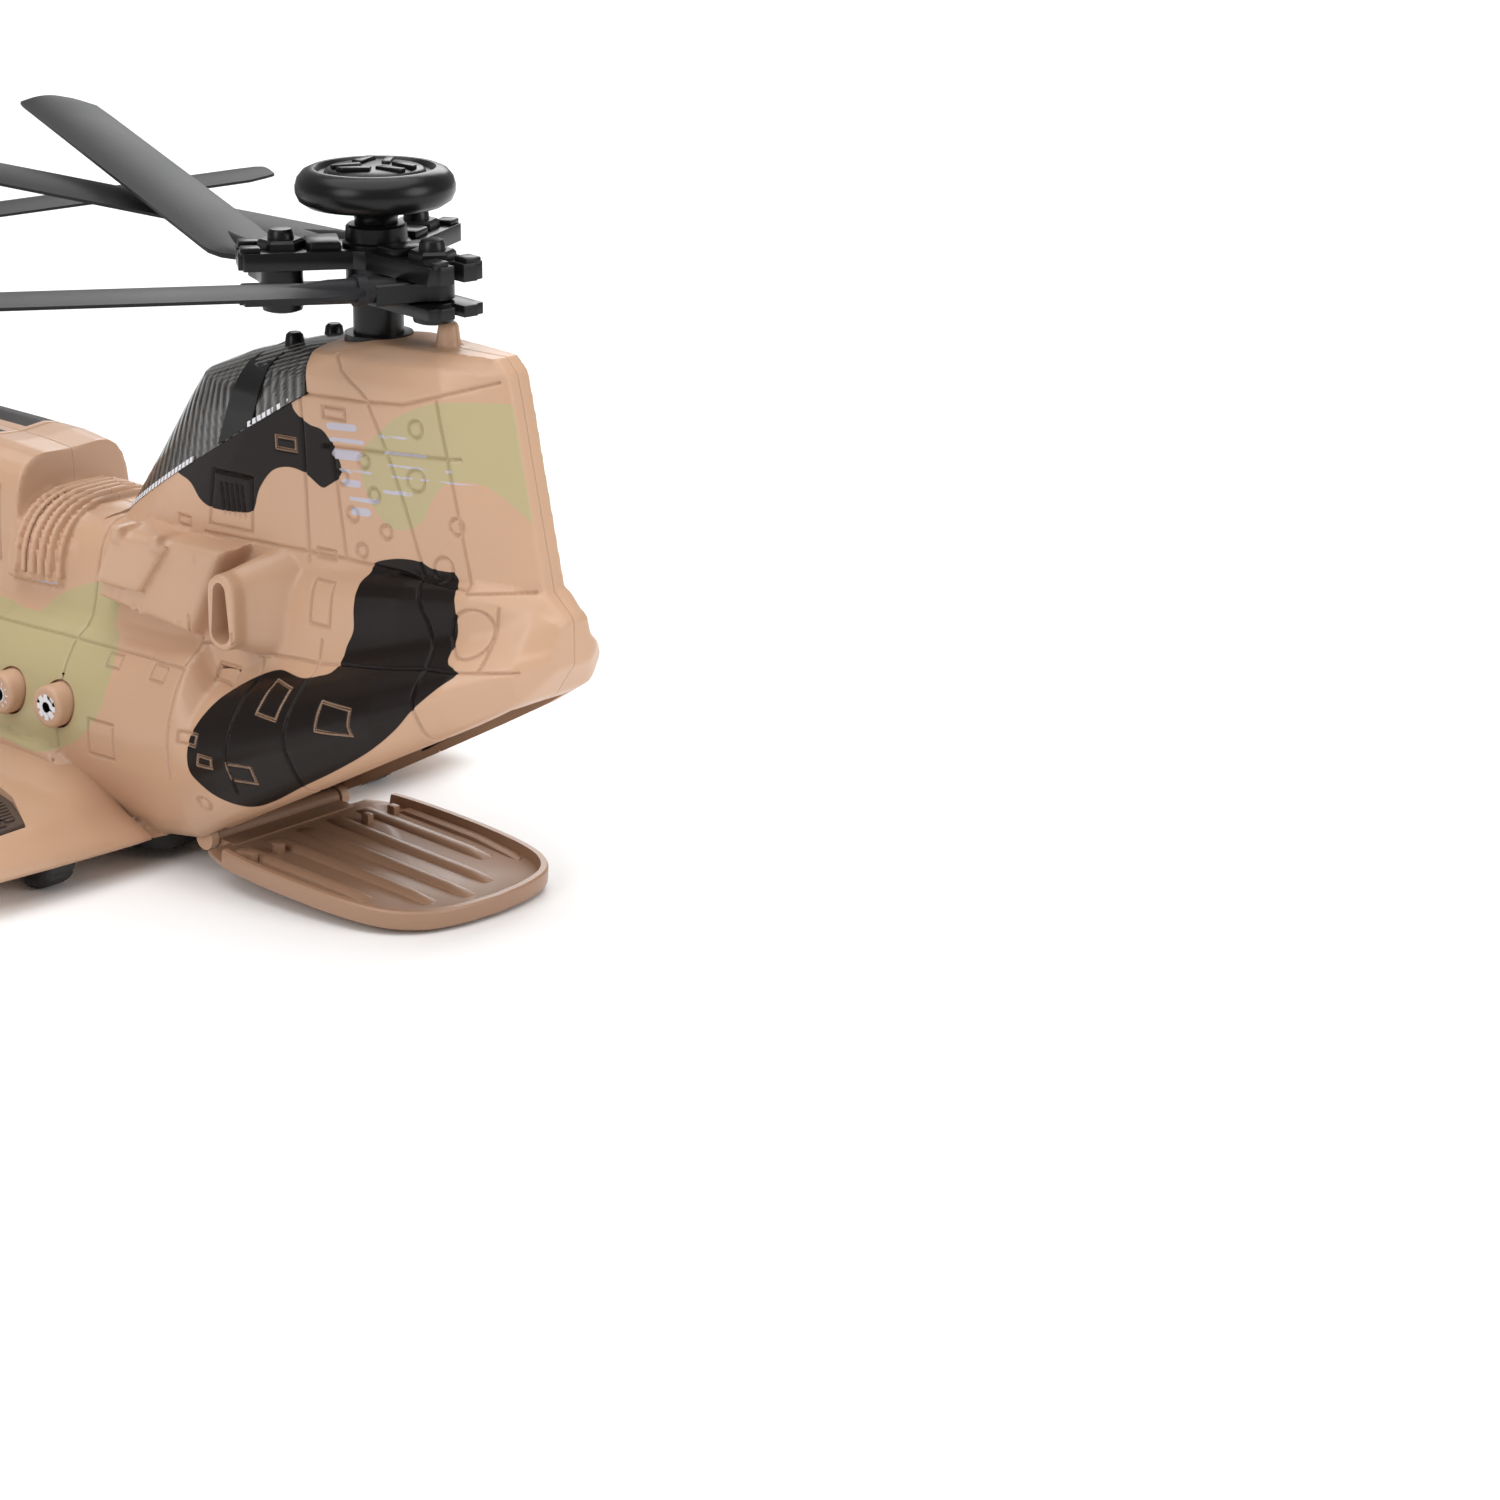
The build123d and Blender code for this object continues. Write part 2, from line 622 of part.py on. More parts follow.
    with BuildPart() as knob:
        with BuildSketch(Plane(origin=(hub_x, 0, roof_z + 4.2 - drop))):
            Circle(rod_r)
        extrude(amount=16.8)
        with BuildSketch(Plane(origin=(hub_x, 0, collar_top - 4.0 - drop))):
            Circle(neck_r)
        extrude(amount=knob_low - collar_top + 5.0)
        with BuildSketch(Plane(origin=(hub_x, 0, knob_low - drop))):
            Circle(knob_r)
        extrude(amount=8.5)
        fillet(knob.edges().filter_by(GeomType.CIRCLE).sort_by(SortBy.RADIUS)[-2:], radius=3.4)
        with BuildSketch(Plane(origin=(hub_x, 0, knob_low - drop + 8.5))):
            Circle(12.5)
            Circle(10.5, mode=Mode.SUBTRACT)
        extrude(amount=-1.2, mode=Mode.SUBTRACT)
        with BuildSketch(Plane(origin=(hub_x, 0, knob_low - drop + 8.5))):
            for turn in (0, 60, 120):
                with Locations(Location((0, 0, 0), turn)):
                    SlotOverall(17.0, 2.6)
        extrude(amount=1.0)
    save(knob.part, f"{prefix}_press_knob")

    with BuildPart() as spring:
        with BuildLine() as coil:
            Helix(pitch=3.4, height=17.0, radius=2.9, center=(hub_x, 0, shelf_z + 0.5 - drop))
        with BuildSketch(Plane(origin=coil.line @ 0, z_dir=coil.line % 0)):
            Circle(0.35)
        sweep(is_frenet=True)
    save(spring.part, f"{prefix}_knob_spring")


rotor("rear", at(0.0), 0.0, rear_blades)
rotor("front", at(mast_gap), front_drop, front_blades)

# ---------------------------------------------------------------- ramp
# local frame at rest: s runs aft from the hinge, t is up
rest = radians(ramp_rest_deg)
ramp_plane = Plane(origin=(at(hinge_ahead), 0, hinge_z), x_dir=(cos(rest), 0, -sin(rest)),
                   z_dir=(sin(rest), 0, cos(rest)))
ramp_half = 29.0
hinge_half = 19.0
rail_high = 2.4
ramp_low = -2.2
skin = 1.8


def ramp_outline():
    """Tray outline: nearly parallel sides and a blunt round tip."""
    side_points = [(5.0, ramp_half - 4.0), (14.0, ramp_half - 1.0), (30.0, ramp_half), (45.0, ramp_half - 0.4)]
    side_points += [(56.0, ramp_half - 2.0), (63.0, ramp_half - 5.0), (68.0, 18.5), (70.5, 11.0)]
    return side_points + [(ramp_length, 0.0)] + [(a, -b) for a, b in reversed(side_points)]


with BuildPart() as ramp:
    with BuildSketch(ramp_plane.offset(ramp_low)):
        with BuildLine():
            Polyline(*ramp_outline(), close=True)
        make_face()
    extrude(amount=rail_high - ramp_low)
    with BuildSketch(ramp_plane.offset(ramp_low + skin)):
        with BuildLine():
            Polyline(*ramp_outline(), close=True)
        make_face()
        offset(amount=-1.8)
    extrude(amount=10.0, mode=Mode.SUBTRACT)
    for y, length in ((-17.0, 48.0), (-8.5, 54.0), (0.0, 56.0), (8.5, 54.0), (17.0, 48.0)):
        with BuildSketch(ramp_plane.offset(ramp_low + skin)):
            with Locations((10.0 + length / 2, y)):
                Rectangle(length, 1.0)
        extrude(amount=1.0)
    with BuildSketch(ramp_plane.offset(-0.4)):
        with Locations((4.0, 0)):
            Rectangle(16.0, 2 * ramp_half)
    extrude(amount=5.0, mode=Mode.SUBTRACT)
    with BuildSketch(ramp_plane.offset(ramp_low)):
        with Locations((3.2, 0)):
            Rectangle(6.4, 2 * hinge_half - 0.4)
    extrude(amount=-ramp_low)
    with BuildSketch(sideways(hinge_ahead, 0, hinge_z)):
        Circle(2.2)
    extrude(amount=hinge_half, both=True)
    with BuildSketch(sideways(hinge_ahead, 0, hinge_z)):
        Circle(1.0 + running)
    extrude(amount=60.0, both=True, mode=Mode.SUBTRACT)
save(ramp.part, "tail_ramp")

with BuildPart() as ramp_pin:
    with BuildSketch(sideways(hinge_ahead, 0, hinge_z)):
        Circle(1.0)
    extrude(amount=21.4, both=True)
save(ramp_pin.part, "ramp_hinge_pin")

# ---------------------------------------------------------------- buttons, domes and their board
board_y = -23.9
for name, ahead in button_ahead.items():
    with BuildPart() as button:
        with BuildSketch(sideways(ahead, -34.0, button_z)):
            Circle(button_r)
        extrude(amount=6.6)
        fillet(button.edges().filter_by(GeomType.CIRCLE).sort_by(Axis.Y)[0], radius=1.0)
        with BuildSketch(sideways(ahead, -27.9, button_z)):
            Circle(6.2)
        extrude(amount=0.8)
    save(button.part, name)
    with BuildPart() as dome:
        with BuildSketch(sideways(ahead, board_y, button_z, -1)):
            Circle(3.6)
            Circle(2.8, mode=Mode.SUBTRACT)
        extrude(amount=3.1, taper=12.0)
    save(dome.part, f"{name}_dome")

with BuildPart() as button_board:
    with BuildSketch(sideways(84.0, board_y, button_z)):
        RectangleRounded(34.0, 16.0, 1.0)
    extrude(amount=1.2)
    for ahead in button_ahead.values():
        with BuildSketch(sideways(ahead, board_y, button_z, -1)):
            Circle(1.6)
        extrude(amount=0.7)
save(button_board.part, "button_board")

# ---------------------------------------------------------------- main board, speaker, lamps
board_z = 54.0
with BuildPart() as main_board:
    with BuildSketch(Plane(origin=(at(150.0), 0, board_z))):
        RectangleRounded(44.0, 24.0, 1.5)
    extrude(amount=1.2)
    with BuildSketch(Plane(origin=(at(158.0), 0, board_z + 1.2))):
        Rectangle(9.0, 9.0)
    extrude(amount=1.6)
    for i in range(3):
        with BuildSketch(Plane(origin=(at(136.0), -7.0 + 7.0 * i, board_z + 1.2))):
            Circle(2.0)
        extrude(amount=4.0)
save(main_board.part, "main_board")

with BuildPart() as speaker:
    with BuildSketch(Plane(origin=(at(192.0), 0, 53.0))):
        Circle(6.0)
    extrude(amount=3.0)
    with BuildSketch(Plane(origin=(at(192.0), 0, 56.0))):
        Circle(14.0)
    extrude(amount=3.2)
    with BuildSketch(Plane(origin=(at(192.0), 0, 59.2))):
        Circle(11.0)
    extrude(amount=-2.0, taper=30.0, mode=Mode.SUBTRACT)
save(speaker.part, "speaker")

for name, ahead, low in (("pylon_lamp", 48.0, 84.0), ("cockpit_lamp", 266.0, 46.0)):
    with BuildPart() as lamp:
        with BuildSketch(Plane(origin=(at(ahead), 0, low))):
            Circle(2.9)
        extrude(amount=1.0)
        with BuildSketch(Plane(origin=(at(ahead), 0, low + 1.0))):
            Circle(2.5)
        extrude(amount=5.5)
        fillet(lamp.edges().filter_by(GeomType.CIRCLE).sort_by(Axis.Z)[-1], radius=2.3)
    save(lamp.part, name)

# ---------------------------------------------------------------- battery compartment in the belly
cell_r = 5.8
cell_thick = 5.4
box_low = belly_z + wall + 0.2
with BuildPart() as battery_box:
    with BuildSketch(Plane(origin=(at(battery_ahead), 0, box_low))):
        Rectangle(box_long, box_wide)
    extrude(amount=box_high)
    with BuildSketch(Plane(origin=(at(battery_ahead), 0, box_low))):
        Rectangle(box_long - 2.4, box_wide - 2.4)
    extrude(amount=box_high - 1.4, mode=Mode.SUBTRACT)
save(battery_box.part, "battery_box")
with BuildPart() as cells:
    for i in range(3):
        y = (i - 1) * (cell_thick + 0.1) - cell_thick / 2
        with BuildSketch(sideways(battery_ahead, y, box_low + 7.0)):
            Circle(cell_r)
        extrude(amount=cell_thick)
save(cells.part, "button_cells")
with BuildPart() as contacts:
    for side in (-1, 1):
        with BuildSketch(sideways(battery_ahead, side * 8.6, box_low + 7.0, side)):
            Rectangle(7.0, 9.0)
        extrude(amount=0.5)
save(contacts.part, "battery_contacts")
with BuildPart() as door:
    with BuildSketch(Plane(origin=(at(battery_ahead), 0, belly_z))):
        RectangleRounded(door_long, door_wide, 1.0)
    extrude(amount=1.4)
    with BuildSketch(Plane(origin=(at(battery_ahead), box_wide / 2 + 1.8, belly_z))):
        Circle(1.2)
    extrude(amount=1.4, mode=Mode.SUBTRACT)
save(door.part, "battery_door")
with BuildPart() as door_screw:
    with BuildSketch(Plane(origin=(at(battery_ahead), box_wide / 2 + 1.8, belly_z - 0.9))):
        Circle(2.0)
    extrude(amount=0.9)
    with BuildSketch(Plane(origin=(at(battery_ahead), box_wide / 2 + 1.8, belly_z))):
        Circle(0.9)
    extrude(amount=6.0)
save(door_screw.part, "battery_door_screw")

# rubber foot under the belly
with BuildPart() as foot:
    with BuildSketch(Plane(origin=(at(58.7), -16.5, 2.6))):
        Circle(8.5)
    extrude(amount=belly_z - 2.6)
    with BuildSketch(Plane(origin=(at(58.7), 16.5, 2.6))):
        Circle(8.5)
    extrude(amount=belly_z - 2.6)
save(foot.part, "belly_pads")
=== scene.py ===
import bpy
import bmesh
import math
import numpy as np
from mathutils import Vector, Matrix
from mathutils.bvhtree import BVHTree
from mathutils.kdtree import KDTree


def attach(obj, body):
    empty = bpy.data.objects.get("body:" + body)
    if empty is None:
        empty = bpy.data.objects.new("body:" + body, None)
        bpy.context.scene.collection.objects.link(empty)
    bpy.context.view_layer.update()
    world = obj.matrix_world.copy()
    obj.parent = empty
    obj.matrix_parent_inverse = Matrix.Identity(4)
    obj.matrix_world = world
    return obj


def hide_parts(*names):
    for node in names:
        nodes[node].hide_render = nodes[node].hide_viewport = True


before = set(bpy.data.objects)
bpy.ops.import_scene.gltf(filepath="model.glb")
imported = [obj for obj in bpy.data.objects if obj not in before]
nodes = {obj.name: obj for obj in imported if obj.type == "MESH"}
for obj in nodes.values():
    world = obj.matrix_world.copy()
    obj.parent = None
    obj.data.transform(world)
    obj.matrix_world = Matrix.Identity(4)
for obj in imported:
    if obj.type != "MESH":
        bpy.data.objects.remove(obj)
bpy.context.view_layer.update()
scene = bpy.context.scene
mm = 0.001
rearMastX = 126.0  # rear mast in the frame, mm
mastGap = 234.4  # between the two masts
frontDrop = 28.3  # the front rotor stands this much lower
hingeAhead = 38.0  # ramp hinge
print("frame loaded:", len(nodes), "nodes")


def place(ahead):
    return rearMastX - ahead  # the nose points to -X


studio = {
    "lens": 108.0,
    "stand": (807.2, -674.1, 329.0),
    "look": (-0.6201, 0.7260, -0.2974),
    "floorShade": 0.93,
    "worldStrength": 0.32,
    "lamps": (  # name, place, size, watts
        ("topLight", (0.0, -0.1, 2.2), 3.4, 62.0),
        ("keyLight", (0.1, -1.7, 1.0), 1.1, 11.0),
        ("rimLight", (1.5, 0.5, 0.7), 0.9, 8.0),
        ("backLight", (-0.9, 1.4, 0.9), 1.0, 8.0),
    ),
}


def makeStudio():
    cam = bpy.data.objects.new("camera", bpy.data.cameras.new("camera"))
    scene.collection.objects.link(cam)
    cam.location = Vector(studio["stand"]) * mm
    cam.rotation_euler = Vector(studio["look"]).to_track_quat("-Z", "Y").to_euler()
    cam.data.lens = studio["lens"]
    cam.data.sensor_width = 36.0
    cam.data.clip_start = 0.01
    scene.camera = cam
    for name, spot, size, power in studio["lamps"]:
        lamp = bpy.data.objects.new(name, bpy.data.lights.new(name, "AREA"))
        lamp.data.shape = "DISK"
        lamp.data.size = size
        lamp.data.energy = power
        lamp.location = spot
        lamp.rotation_euler = (Vector((0.02, 0, 0.06)) - Vector(spot)).to_track_quat("-Z", "Y").to_euler()
        scene.collection.objects.link(lamp)
    world = bpy.data.worlds.new("studio")
    scene.world = world
    world.use_nodes = True
    backdrop = world.node_tree.nodes["Background"]
    backdrop.inputs["Color"].default_value = (1.0, 1.0, 1.0, 1.0)
    backdrop.inputs["Strength"].default_value = studio["worldStrength"]
    bpy.ops.mesh.primitive_plane_add(size=14.0, location=(0, 0, -0.0002))
    floor = bpy.context.object
    floor.name = "floor"
    paper = bpy.data.materials.new("paperFloor")
    paper.use_nodes = True
    bsdf = paper.node_tree.nodes["Principled BSDF"]
    shade = studio["floorShade"]
    bsdf.inputs["Base Color"].default_value = (shade, shade, shade, 1.0)
    bsdf.inputs["Roughness"].default_value = 0.7
    floor.data.materials.append(paper)
    scene.view_settings.view_transform = "Standard"


makeStudio()
print("studio ready")


def newMaterial(name, rough, color=(0.8, 0.8, 0.8), coat=0.0):
    mat = bpy.data.materials.new(name)
    mat.use_nodes = True
    bsdf = mat.node_tree.nodes["Principled BSDF"]
    bsdf.inputs["Base Color"].default_value = (*color, 1.0)
    bsdf.inputs["Roughness"].default_value = rough
    bsdf.inputs["Coat Weight"].default_value = coat
    bsdf.inputs["Coat Roughness"].default_value = 0.3
    return mat, mat.node_tree, bsdf


def addNode(tree, kind, **values):
    node = tree.nodes.new(kind)
    for key, value in values.items():
        setattr(node, key, value)
    return node


# Fine moulded grain: a little bump, and roughness that wanders
def grain(tree, bsdf, scale, strength, rough, spread, distance=0.00012):
    coord = addNode(tree, "ShaderNodeTexCoord")
    fine = addNode(tree, "ShaderNodeTexNoise")
    fine.inputs["Scale"].default_value = scale
    fine.inputs["Detail"].default_value = 4.0
    broad = addNode(tree, "ShaderNodeTexNoise")
    broad.inputs["Scale"].default_value = scale * 0.03
    tree.links.new(coord.outputs["Object"], fine.inputs["Vector"])
    tree.links.new(coord.outputs["Object"], broad.inputs["Vector"])
    bump = addNode(tree, "ShaderNodeBump")
    bump.inputs["Strength"].default_value = strength
    bump.inputs["Distance"].default_value = distance
    tree.links.new(fine.outputs["Fac"], bump.inputs["Height"])
    tree.links.new(bump.outputs["Normal"], bsdf.inputs["Normal"])
    spreadMap = addNode(tree, "ShaderNodeMapRange")
    spreadMap.inputs["To Min"].default_value = rough - spread
    spreadMap.inputs["To Max"].default_value = rough + spread
    tree.links.new(broad.outputs["Fac"], spreadMap.inputs["Value"])
    tree.links.new(spreadMap.outputs["Result"], bsdf.inputs["Roughness"])
    return broad


# Two close shades mixed by a broad noise
def tinted(tree, broad, color, other):
    ramp = addNode(tree, "ShaderNodeValToRGB")
    ramp.color_ramp.elements[0].position = 0.35
    ramp.color_ramp.elements[0].color = (*color, 1.0)
    ramp.color_ramp.elements[1].position = 0.65
    ramp.color_ramp.elements[1].color = (*other, 1.0)
    tree.links.new(broad.outputs["Fac"], ramp.inputs["Fac"])
    return ramp.outputs["Color"]


def plainPlastic(name, color, other, rough, scale=900.0, bump=0.12, coat=0.0, shine=0.5):
    mat, tree, bsdf = newMaterial(name, rough, color, coat)
    bsdf.inputs["Specular IOR Level"].default_value = shine
    broad = grain(tree, bsdf, scale, bump, rough, 0.05)
    tree.links.new(tinted(tree, broad, color, other), bsdf.inputs["Base Color"])
    return mat


def metal(name, color, rough):
    mat, tree, bsdf = newMaterial(name, rough, color)
    bsdf.inputs["Metallic"].default_value = 1.0
    broad = grain(tree, bsdf, 1500.0, 0.1, rough, 0.08)
    tree.links.new(tinted(tree, broad, color, tuple(c * 0.85 for c in color)), bsdf.inputs["Base Color"])
    return mat


paint = {
    "tan": (0.555, 0.342, 0.220),
    "tanDeep": (0.525, 0.322, 0.206),
    "khaki": (0.440, 0.365, 0.195),
    "umber": (0.008, 0.0045, 0.0035),
    "print": (0.480, 0.450, 0.520),
}


# Tan plastic with the printed camouflage: each colour follows a signed distance kept on the mesh
def printedTan():
    mat, tree, bsdf = newMaterial("printedTan", 0.36, paint["tan"])
    broad = grain(tree, bsdf, 700.0, 0.10, 0.36, 0.04)
    colour = tinted(tree, broad, paint["tan"], paint["tanDeep"])
    for layer, key in (("khakiEdge", "khaki"), ("umberEdge", "umber"), ("printEdge", "print")):
        edge = addNode(tree, "ShaderNodeAttribute", attribute_name=layer)
        mask = addNode(tree, "ShaderNodeMapRange")
        mask.inputs["From Min"].default_value = -0.08
        mask.inputs["From Max"].default_value = 0.08
        tree.links.new(edge.outputs["Fac"], mask.inputs["Value"])
        mix = addNode(tree, "ShaderNodeMix", data_type="RGBA")
        tree.links.new(mask.outputs["Result"], mix.inputs["Factor"])
        tree.links.new(colour, mix.inputs["A"])
        mix.inputs["B"].default_value = (*paint[key], 1.0)
        colour = mix.outputs["Result"]
        if key == "umber":
            shine = addNode(tree, "ShaderNodeMapRange")
            shine.inputs["From Min"].default_value = -0.08
            shine.inputs["From Max"].default_value = 0.08
            shine.inputs["To Min"].default_value = 0.5
            shine.inputs["To Max"].default_value = 0.2
            tree.links.new(edge.outputs["Fac"], shine.inputs["Value"])
            tree.links.new(shine.outputs["Result"], bsdf.inputs["Specular IOR Level"])
    shade = addNode(tree, "ShaderNodeAttribute", attribute_name="grooveShade")
    dark = addNode(tree, "ShaderNodeMix", data_type="RGBA", blend_type="MULTIPLY")
    tree.links.new(shade.outputs["Fac"], dark.inputs["Factor"])
    tree.links.new(colour, dark.inputs["A"])
    dark.inputs["B"].default_value = (0.34, 0.27, 0.24, 1.0)
    tree.links.new(dark.outputs["Result"], bsdf.inputs["Base Color"])
    return mat


tanPrinted = printedTan()
tanPlain = plainPlastic("tanPlain", paint["tan"], paint["tanDeep"], 0.42)
tanInner = plainPlastic("tanInner", (0.36, 0.225, 0.15), (0.33, 0.205, 0.135), 0.5)
blackPlastic = plainPlastic("blackPlastic", (0.004, 0.004, 0.0045), (0.006, 0.006, 0.0065), 0.30, bump=0.15,
                            shine=0.28)
bladePlastic = plainPlastic("bladePlastic", (0.011, 0.011, 0.0125), (0.014, 0.014, 0.0155), 0.46,
                            scale=1300.0, bump=0.25, shine=0.2)
wheelRubber = plainPlastic("wheelRubber", (0.014, 0.014, 0.014), (0.02, 0.02, 0.02), 0.62)
brownPlate = plainPlastic("brownPlate", (0.060, 0.040, 0.032), (0.075, 0.050, 0.040), 0.45)
steel = metal("brightSteel", (0.62, 0.62, 0.63), 0.28)
brass = metal("platedBrass", (0.72, 0.55, 0.25), 0.3)
boardGreen = plainPlastic("boardGreen", (0.02, 0.13, 0.05), (0.025, 0.16, 0.06), 0.35)
milky = plainPlastic("milkyPlastic", (0.75, 0.75, 0.72), (0.7, 0.7, 0.66), 0.3)
whiteInk = plainPlastic("whiteInk", (0.78, 0.77, 0.80), (0.74, 0.73, 0.77), 0.5)


# Smoke-grey clear plastic; a painted highlight on its fine ribs is mixed into the colour from a mesh
# attribute
def smokedPlastic():
    mat, tree, bsdf = newMaterial("smokedPlastic", 0.14, (0.03, 0.029, 0.028))
    broad = grain(tree, bsdf, 500.0, 0.04, 0.14, 0.04)
    glint = addNode(tree, "ShaderNodeAttribute", attribute_name="paintedRibGlint")
    mix = addNode(tree, "ShaderNodeMix", data_type="RGBA")
    tree.links.new(glint.outputs["Fac"], mix.inputs["Factor"])
    tree.links.new(tinted(tree, broad, (0.030, 0.028, 0.026), (0.018, 0.017, 0.016)), mix.inputs["A"])
    # pale colour of the painted highlight on the rib crests
    mix.inputs["B"].default_value = (0.26, 0.25, 0.24, 1.0)
    tree.links.new(mix.outputs["Result"], bsdf.inputs["Base Color"])
    bsdf.inputs["Transmission Weight"].default_value = 0.15
    bsdf.inputs["IOR"].default_value = 1.5
    return mat


smoked = smokedPlastic()
print("materials ready")


# Makes an object from millimetre points
def meshObject(name, verts, faces, mat, smooth=True):
    mesh = bpy.data.meshes.new(name)
    mesh.from_pydata([tuple(c * mm for c in v) for v in verts], [], faces)
    mesh.materials.append(mat)
    obj = bpy.data.objects.new(name, mesh)
    scene.collection.objects.link(obj)
    mesh.polygons.foreach_set("use_smooth", [smooth] * len(mesh.polygons))
    fixNormals(obj)
    return obj


def fixNormals(obj):
    bm = bmesh.new()
    bm.from_mesh(obj.data)
    bmesh.ops.recalc_face_normals(bm, faces=bm.faces)
    bm.to_mesh(obj.data)
    bm.free()


# Quads between rings of points, with both ends closed by a fan
def skinRings(rings, closed=True):
    verts = [p for ring in rings for p in ring]
    n = len(rings[0])
    faces = []
    for i in range(len(rings) - 1):
        for j in range(n if closed else n - 1):
            k = (j + 1) % n
            faces.append((i * n + j, i * n + k, (i + 1) * n + k, (i + 1) * n + j))
    for start, ring in ((0, rings[0]), ((len(rings) - 1) * n, rings[-1])):
        centre = np.mean(np.array(ring), axis=0)
        verts.append(tuple(centre))
        c = len(verts) - 1
        for j in range(n):
            faces.append((c, start + j, start + (j + 1) % n))
    return verts, faces


def applyModifier(obj, kind, **values):
    mod = obj.modifiers.new(kind.lower(), kind)
    for key, value in values.items():
        setattr(mod, key, value)
    bpy.context.view_layer.objects.active = obj
    bpy.ops.object.modifier_apply(modifier=mod.name)
    return obj


def cutBy(obj, cutter, operation="DIFFERENCE", solver="EXACT"):
    applyModifier(obj, "BOOLEAN", object=cutter, operation=operation, solver=solver)
    bpy.data.objects.remove(cutter)
    return obj


def joinAll(objs, name):
    bpy.ops.object.select_all(action="DESELECT")
    for o in objs:
        o.select_set(True)
    bpy.context.view_layer.objects.active = objs[0]
    if len(objs) > 1:
        bpy.ops.object.join()
    objs[0].name = name
    objs[0].data.name = name
    return objs[0]


# Extrudes a flat outline. axis Y takes (ahead, z) points, axis Z takes (x, y) points in the frame
def prism(name, points, low, high, axis="Y", mat=None, bevel=0.0, segments=2, smooth=False):
    n = len(points)
    if axis == "Y":
        verts = [(place(a), low, z) for a, z in points] + [(place(a), high, z) for a, z in points]
    else:
        verts = [(x, y, low) for x, y in points] + [(x, y, high) for x, y in points]
    faces = [tuple(range(n)), tuple(range(2 * n - 1, n - 1, -1))]
    faces += [(i, (i + 1) % n, n + (i + 1) % n, n + i) for i in range(n)]
    obj = meshObject(name, verts, faces, mat or tanPlain, smooth)
    if bevel:
        applyModifier(obj, "BEVEL", width=bevel * mm, segments=segments, limit_method="ANGLE",
                      angle_limit=0.6)
    return obj


def smoothByAngle(obj, degreesLimit=35.0):
    for p in obj.data.polygons:
        p.use_smooth = True
    obj.data.set_sharp_from_angle(angle=math.radians(degreesLimit))


# Catmull-Rom points through the given ones
def curveThrough(points, perSpan, closed=True):
    pts = np.array(points, float)
    n = len(pts)
    out = []
    spans = n if closed else n - 1
    for i in range(spans):
        p0 = pts[(i - 1) % n] if closed or i > 0 else 2 * pts[0] - pts[1]
        p1 = pts[i]
        p2 = pts[(i + 1) % n]
        p3 = pts[(i + 2) % n] if closed or i + 2 < n else 2 * pts[-1] - pts[-2]
        for s in range(perSpan):
            t = s / perSpan
            out.append(0.5 * (2 * p1 + (p2 - p0) * t + (2 * p0 - 5 * p1 + 4 * p2 - p3) * t * t
                              + (3 * p1 - p0 - 3 * p2 + p3) * t ** 3))
    if not closed:
        out.append(pts[-1])
    return [tuple(p) for p in out]


# each row: ahead of the rear mast, half width, underside, top, half width of the top deck
hullStations = [
    (-56.4, 7.0, 62.0, 72.0, 3.0), (-51.0, 14.0, 54.6, 77.0, 5.0), (-38.0, 21.5, 47.2, 79.0, 12.0),
    (-20.0, 27.0, 37.8, 78.0, 15.0), (2.0, 30.0, 26.3, 76.0, 15.0), (20.0, 31.0, 16.9, 75.0, 15.0),
    (38.0, 31.0, 7.5, 75.0, 15.0), (50.0, 31.0, 6.0, 75.0, 15.0), (82.0, 31.0, 6.0, 73.5, 14.0),
    (101.8, 31.0, 6.0, 74.5, 14.0), (102.2, 31.0, 6.0, 84.5, 16.0), (112.0, 31.0, 6.0, 85.6, 17.0),
    (180.0, 31.0, 6.0, 88.0, 17.0), (214.0, 31.0, 6.0, 97.0, 15.0), (222.0, 31.0, 6.0, 97.7, 14.0),
    (244.0, 30.5, 6.0, 97.7, 13.0), (254.0, 29.0, 6.6, 93.0, 12.0), (268.0, 24.5, 10.0, 72.0, 11.0),
    (279.0, 17.0, 17.0, 56.0, 9.0), (285.0, 8.0, 27.0, 43.0, 5.0),
]
# height, leading edge, where the side begins, trailing edge, half width
pylonLevels = [
    (62.0, 80.0, 44.0, -50.0, 15.0), (75.0, 79.0, 43.0, -51.3, 16.0), (92.0, 66.0, 33.0, -47.7, 16.0),
    (106.0, 55.7, 24.0, -44.7, 16.0), (112.0, 51.0, 18.0, -43.5, 16.0), (118.0, 36.0, 11.0, -42.2, 15.6),
    (123.0, 18.0, 2.0, -41.0, 13.5), (126.0, -2.0, -10.0, -38.0, 8.0),
]
hullLook = {
    "voxel": 0.9,
    "grooveDepth": 0.55,
    "grooveWidth": 0.34,
    "ridgeHeight": 0.75,
    "ridgeWidth": 0.75,
    "refineReach": 1.2,
}


def hullOutline(half, low, top, deck):
    height = top - low
    tuck = min(0.20 * height, 14.0)
    widest = low + min(0.36 * height, 24.0)
    shoulder = low + min(0.62 * height, 42.0)
    if low > 9.0:
        shoulder = low + 0.5 * height
        widest = low + 0.28 * height
    side = [
        (half * 0.58, low), (half * 0.80, low + 0.22 * tuck), (half * 0.955, low + tuck), (half, widest),
        (half * 0.93, widest + 0.55 * (shoulder - widest)), (half * 0.78, shoulder),
        (max(half * 0.60, deck + 0.5), shoulder + 5.0), (deck + 1.0, top - 0.22 * (top - shoulder)),
        (deck * 0.72, top),
    ]
    return side


# Full ring of (y, z) from the keel round both sides, rounded through the given points
def outlineRing(side, low, top, perSpan):
    line = curveThrough([(0.0, low)] + side + [(0.0, top)], perSpan, closed=False)
    return line + [(-y, z) for y, z in reversed(line[1:-1])]


